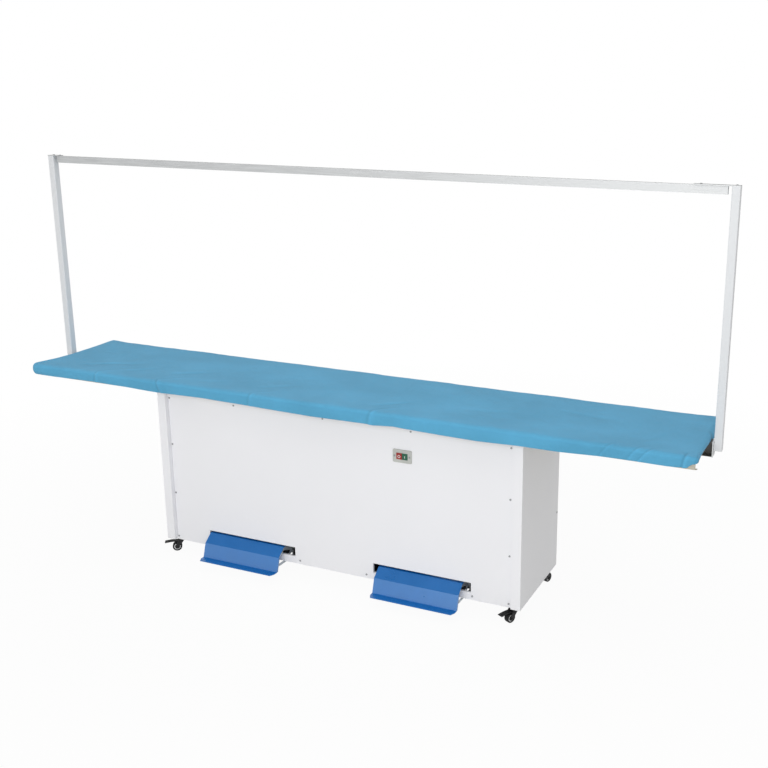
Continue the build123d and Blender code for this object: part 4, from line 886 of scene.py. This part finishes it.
class FinishBuild(bpy.types.Operator):
    """Give every carried-over part the finish of its material slot"""

    bl_idname = "ironing_table.finishes"
    bl_label = "Finishes"

    def execute(self, context):
        settings = context.scene.finish_settings
        finishes = all_finishes(settings)
        bracket = bracket_paint_and_shade("bracket_paint_and_shade", settings.gantry, settings.bracket_shade)
        for part in frame["record"]["subparts"]:
            node = frame["nodes"][part["node"]]
            finish = finishes.get(part["material_slot"])
            # the posts' brackets get the finish with painted shade in their channel
            if part["node"].startswith("post_bracket"):
                finish = bracket
            if finish is None:
                continue
            if not node.material_slots:
                raise RuntimeError(f"{part['node']} has no material slot")
            for slot in node.material_slots:
                slot.material = finish
        return {"FINISHED"}


class StudioBuild(bpy.types.Operator):
    """Set up the floor, the lamps, the white surroundings and the camera"""

    bl_idname = "ironing_table.studio"
    bl_label = "Studio"

    def execute(self, context):
        settings = context.scene.studio_settings
        self.add_floor(context)
        self.light_world(context, settings)
        self.add_lamp(context, "front_lamp", settings.front_light, size=(5.0, 3.4),
                      place=(1.1, -5.2, 2.3), target=(0, 0, 0.7))
        ceiling = self.add_lamp(context, "ceiling_lamp", settings.top_light, size=(5.0, 3.0),
                                place=(0.0, -0.4, 4.2), target=(0, 0, 0.8))
        ceiling.visible_glossy = False
        self.add_camera(context, settings)
        context.scene.view_settings.view_transform = "Standard"
        return {"FINISHED"}

    @staticmethod
    def camera_sees(tree):
        """One where a ray comes from the camera or off a mirror or glass, else nought."""
        path = add_node(tree, "ShaderNodeLightPath")
        seen = combine(tree, "MAXIMUM", path.outputs["Is Camera Ray"],
                       path.outputs["Is Glossy Ray"])
        return combine(tree, "MAXIMUM", seen, path.outputs["Is Transmission Ray"])

    def add_floor(self, context):
        """A wide matt disc just under the casters, which turns white away from the table."""
        below, white_from, white_to = 0.0005, 1.0, 3.6
        angle = np.linspace(0, 2 * math.pi, 96, endpoint=False)[:, None]
        radius = np.array([[0.001, 1, 2, 3, 5, 9, 16, 30, 60]])
        z = 0 * angle * radius - below
        floor = put_grid("floor", as_arrays(radius * np.sin(angle), radius * np.cos(angle), z))
        material = bpy.data.materials.new("floor")
        material.use_nodes = True
        tree = material.node_tree
        shader = tree.nodes["Principled BSDF"]
        shader.inputs["Base Color"].default_value = (0.66, 0.66, 0.64, 1)
        shader.inputs["Roughness"].default_value = 0.9
        shader.inputs["Specular IOR Level"].default_value = 0.0
        white = add_node(tree, "ShaderNodeEmission")
        middle = add_node(tree, "ShaderNodeVectorMath", operation="LENGTH")
        tree.links.new(object_places(tree), middle.inputs[0])
        far = between(tree, middle.outputs["Value"], 0.95, 1.0, white_from, white_to)
        share = combine(tree, "MULTIPLY", self.camera_sees(tree), far)
        blend = add_node(tree, "ShaderNodeMixShader")
        tree.links.new(share, blend.inputs["Fac"])
        tree.links.new(shader.outputs["BSDF"], blend.inputs[1])
        tree.links.new(white.outputs["Emission"], blend.inputs[2])
        tree.links.new(blend.outputs["Shader"], tree.nodes["Material Output"].inputs["Surface"])
        floor.data.materials.append(material)

    def light_world(self, context, settings):
        """White surroundings: whole where they are seen, and darker overhead in reflections."""
        world = bpy.data.worlds.new("studio")
        world.use_nodes = True
        context.scene.world = world
        tree = world.node_tree
        background = tree.nodes["Background"]
        background.inputs["Color"].default_value = (1, 1, 1, 1)
        seen = between(tree, self.camera_sees(tree), settings.fill, 1.0, 0.0, 1.0)
        split = add_node(tree, "ShaderNodeSeparateXYZ")
        heading = add_node(tree, "ShaderNodeTexCoord").outputs["Generated"]
        tree.links.new(heading, split.inputs["Vector"])
        overhead = between(tree, split.outputs["Z"], 0.0, 1.0 - settings.zenith, 0.25, 0.65)
        mirrored = add_node(tree, "ShaderNodeLightPath").outputs["Is Glossy Ray"]
        loss = combine(tree, "MULTIPLY", overhead, mirrored)
        tree.links.new(combine(tree, "SUBTRACT", seen, loss), background.inputs["Strength"])

    @staticmethod
    def add_lamp(context, name, power, size, place, target):
        """A rectangular lamp at a place, turned to its target."""
        lamp = bpy.data.lights.new(name, "AREA")
        lamp.shape = "RECTANGLE"
        lamp.size, lamp.size_y = size
        lamp.energy = power
        obj = bpy.data.objects.new(name, lamp)
        obj.location = place
        aim = Vector(target) - Vector(place)
        obj.rotation_euler = aim.to_track_quat("-Z", "Y").to_euler()
        context.scene.collection.objects.link(obj)
        return obj

    @staticmethod
    def add_camera(context, settings):
        """The camera's axes come from its yaw, pitch and roll; the shift recentres the picture."""
        sensor, centre_x, centre_y = 36, 512.30, 352.57
        sy, cy = math.sin(settings.yaw), math.cos(settings.yaw)
        sp, cp = math.sin(settings.pitch), math.cos(settings.pitch)
        ahead = Vector((-sy * cp, cy * cp, -sp))
        right = Vector((cy, sy, 0))
        down = ahead.cross(right)
        sr, cr = math.sin(settings.roll), math.cos(settings.roll)
        right, down = cr * right + sr * down, -sr * right + cr * down
        camera = bpy.data.cameras.new("camera")
        camera.sensor_width = sensor
        camera.lens = settings.focal * sensor
        camera.shift_x = (picture / 2 - centre_x) / picture
        camera.shift_y = (centre_y - picture / 2) / picture
        camera.clip_end = 200
        obj = bpy.data.objects.new("camera", camera)
        turn = Matrix((right, -down, -ahead)).transposed().to_4x4()
        obj.matrix_world = Matrix.Translation(settings.camera_place) @ turn
        context.scene.collection.objects.link(obj)
        context.scene.camera = obj


class TablePanel(bpy.types.Panel):
    """Lists the settings and the steps of the ironing table"""

    bl_idname = "VIEW3D_PT_ironing_table"
    bl_label = "Ironing table"
    bl_space_type = "VIEW_3D"
    bl_region_type = "UI"
    bl_category = "Ironing table"

    def draw(self, context):
        for group in ("cover_settings", "caster_settings", "finish_settings", "studio_settings"):
            settings = getattr(context.scene, group)
            box = self.layout.box()
            for name in settings.bl_rna.properties.keys():
                if name not in ("rna_type", "name"):
                    box.prop(settings, name)
        for step in steps:
            self.layout.operator(step.bl_idname)


steps = (StudioBuild, FinishBuild, FeltBuild, CoverBuild, WheelBuild, MarkBuild)
groups = {
    "cover_settings": CoverSettings,
    "caster_settings": CasterSettings,
    "finish_settings": FinishSettings,
    "studio_settings": StudioSettings,
}


def register():
    """Add the settings, the steps and the panel to Blender."""
    for name, group in groups.items():
        bpy.utils.register_class(group)
        setattr(bpy.types.Scene, name, PointerProperty(type=group))
    for step in (*steps, TablePanel):
        bpy.utils.register_class(step)


def unregister():
    """Take them out again."""
    for step in (TablePanel, *reversed(steps)):
        bpy.utils.unregister_class(step)
    for name, group in groups.items():
        delattr(bpy.types.Scene, name)
        bpy.utils.unregister_class(group)


def main():
    register()
    for step in steps:
        group, name = step.bl_idname.split(".")
        getattr(getattr(bpy.ops, group), name)()


if __name__ == "__main__":
    main()
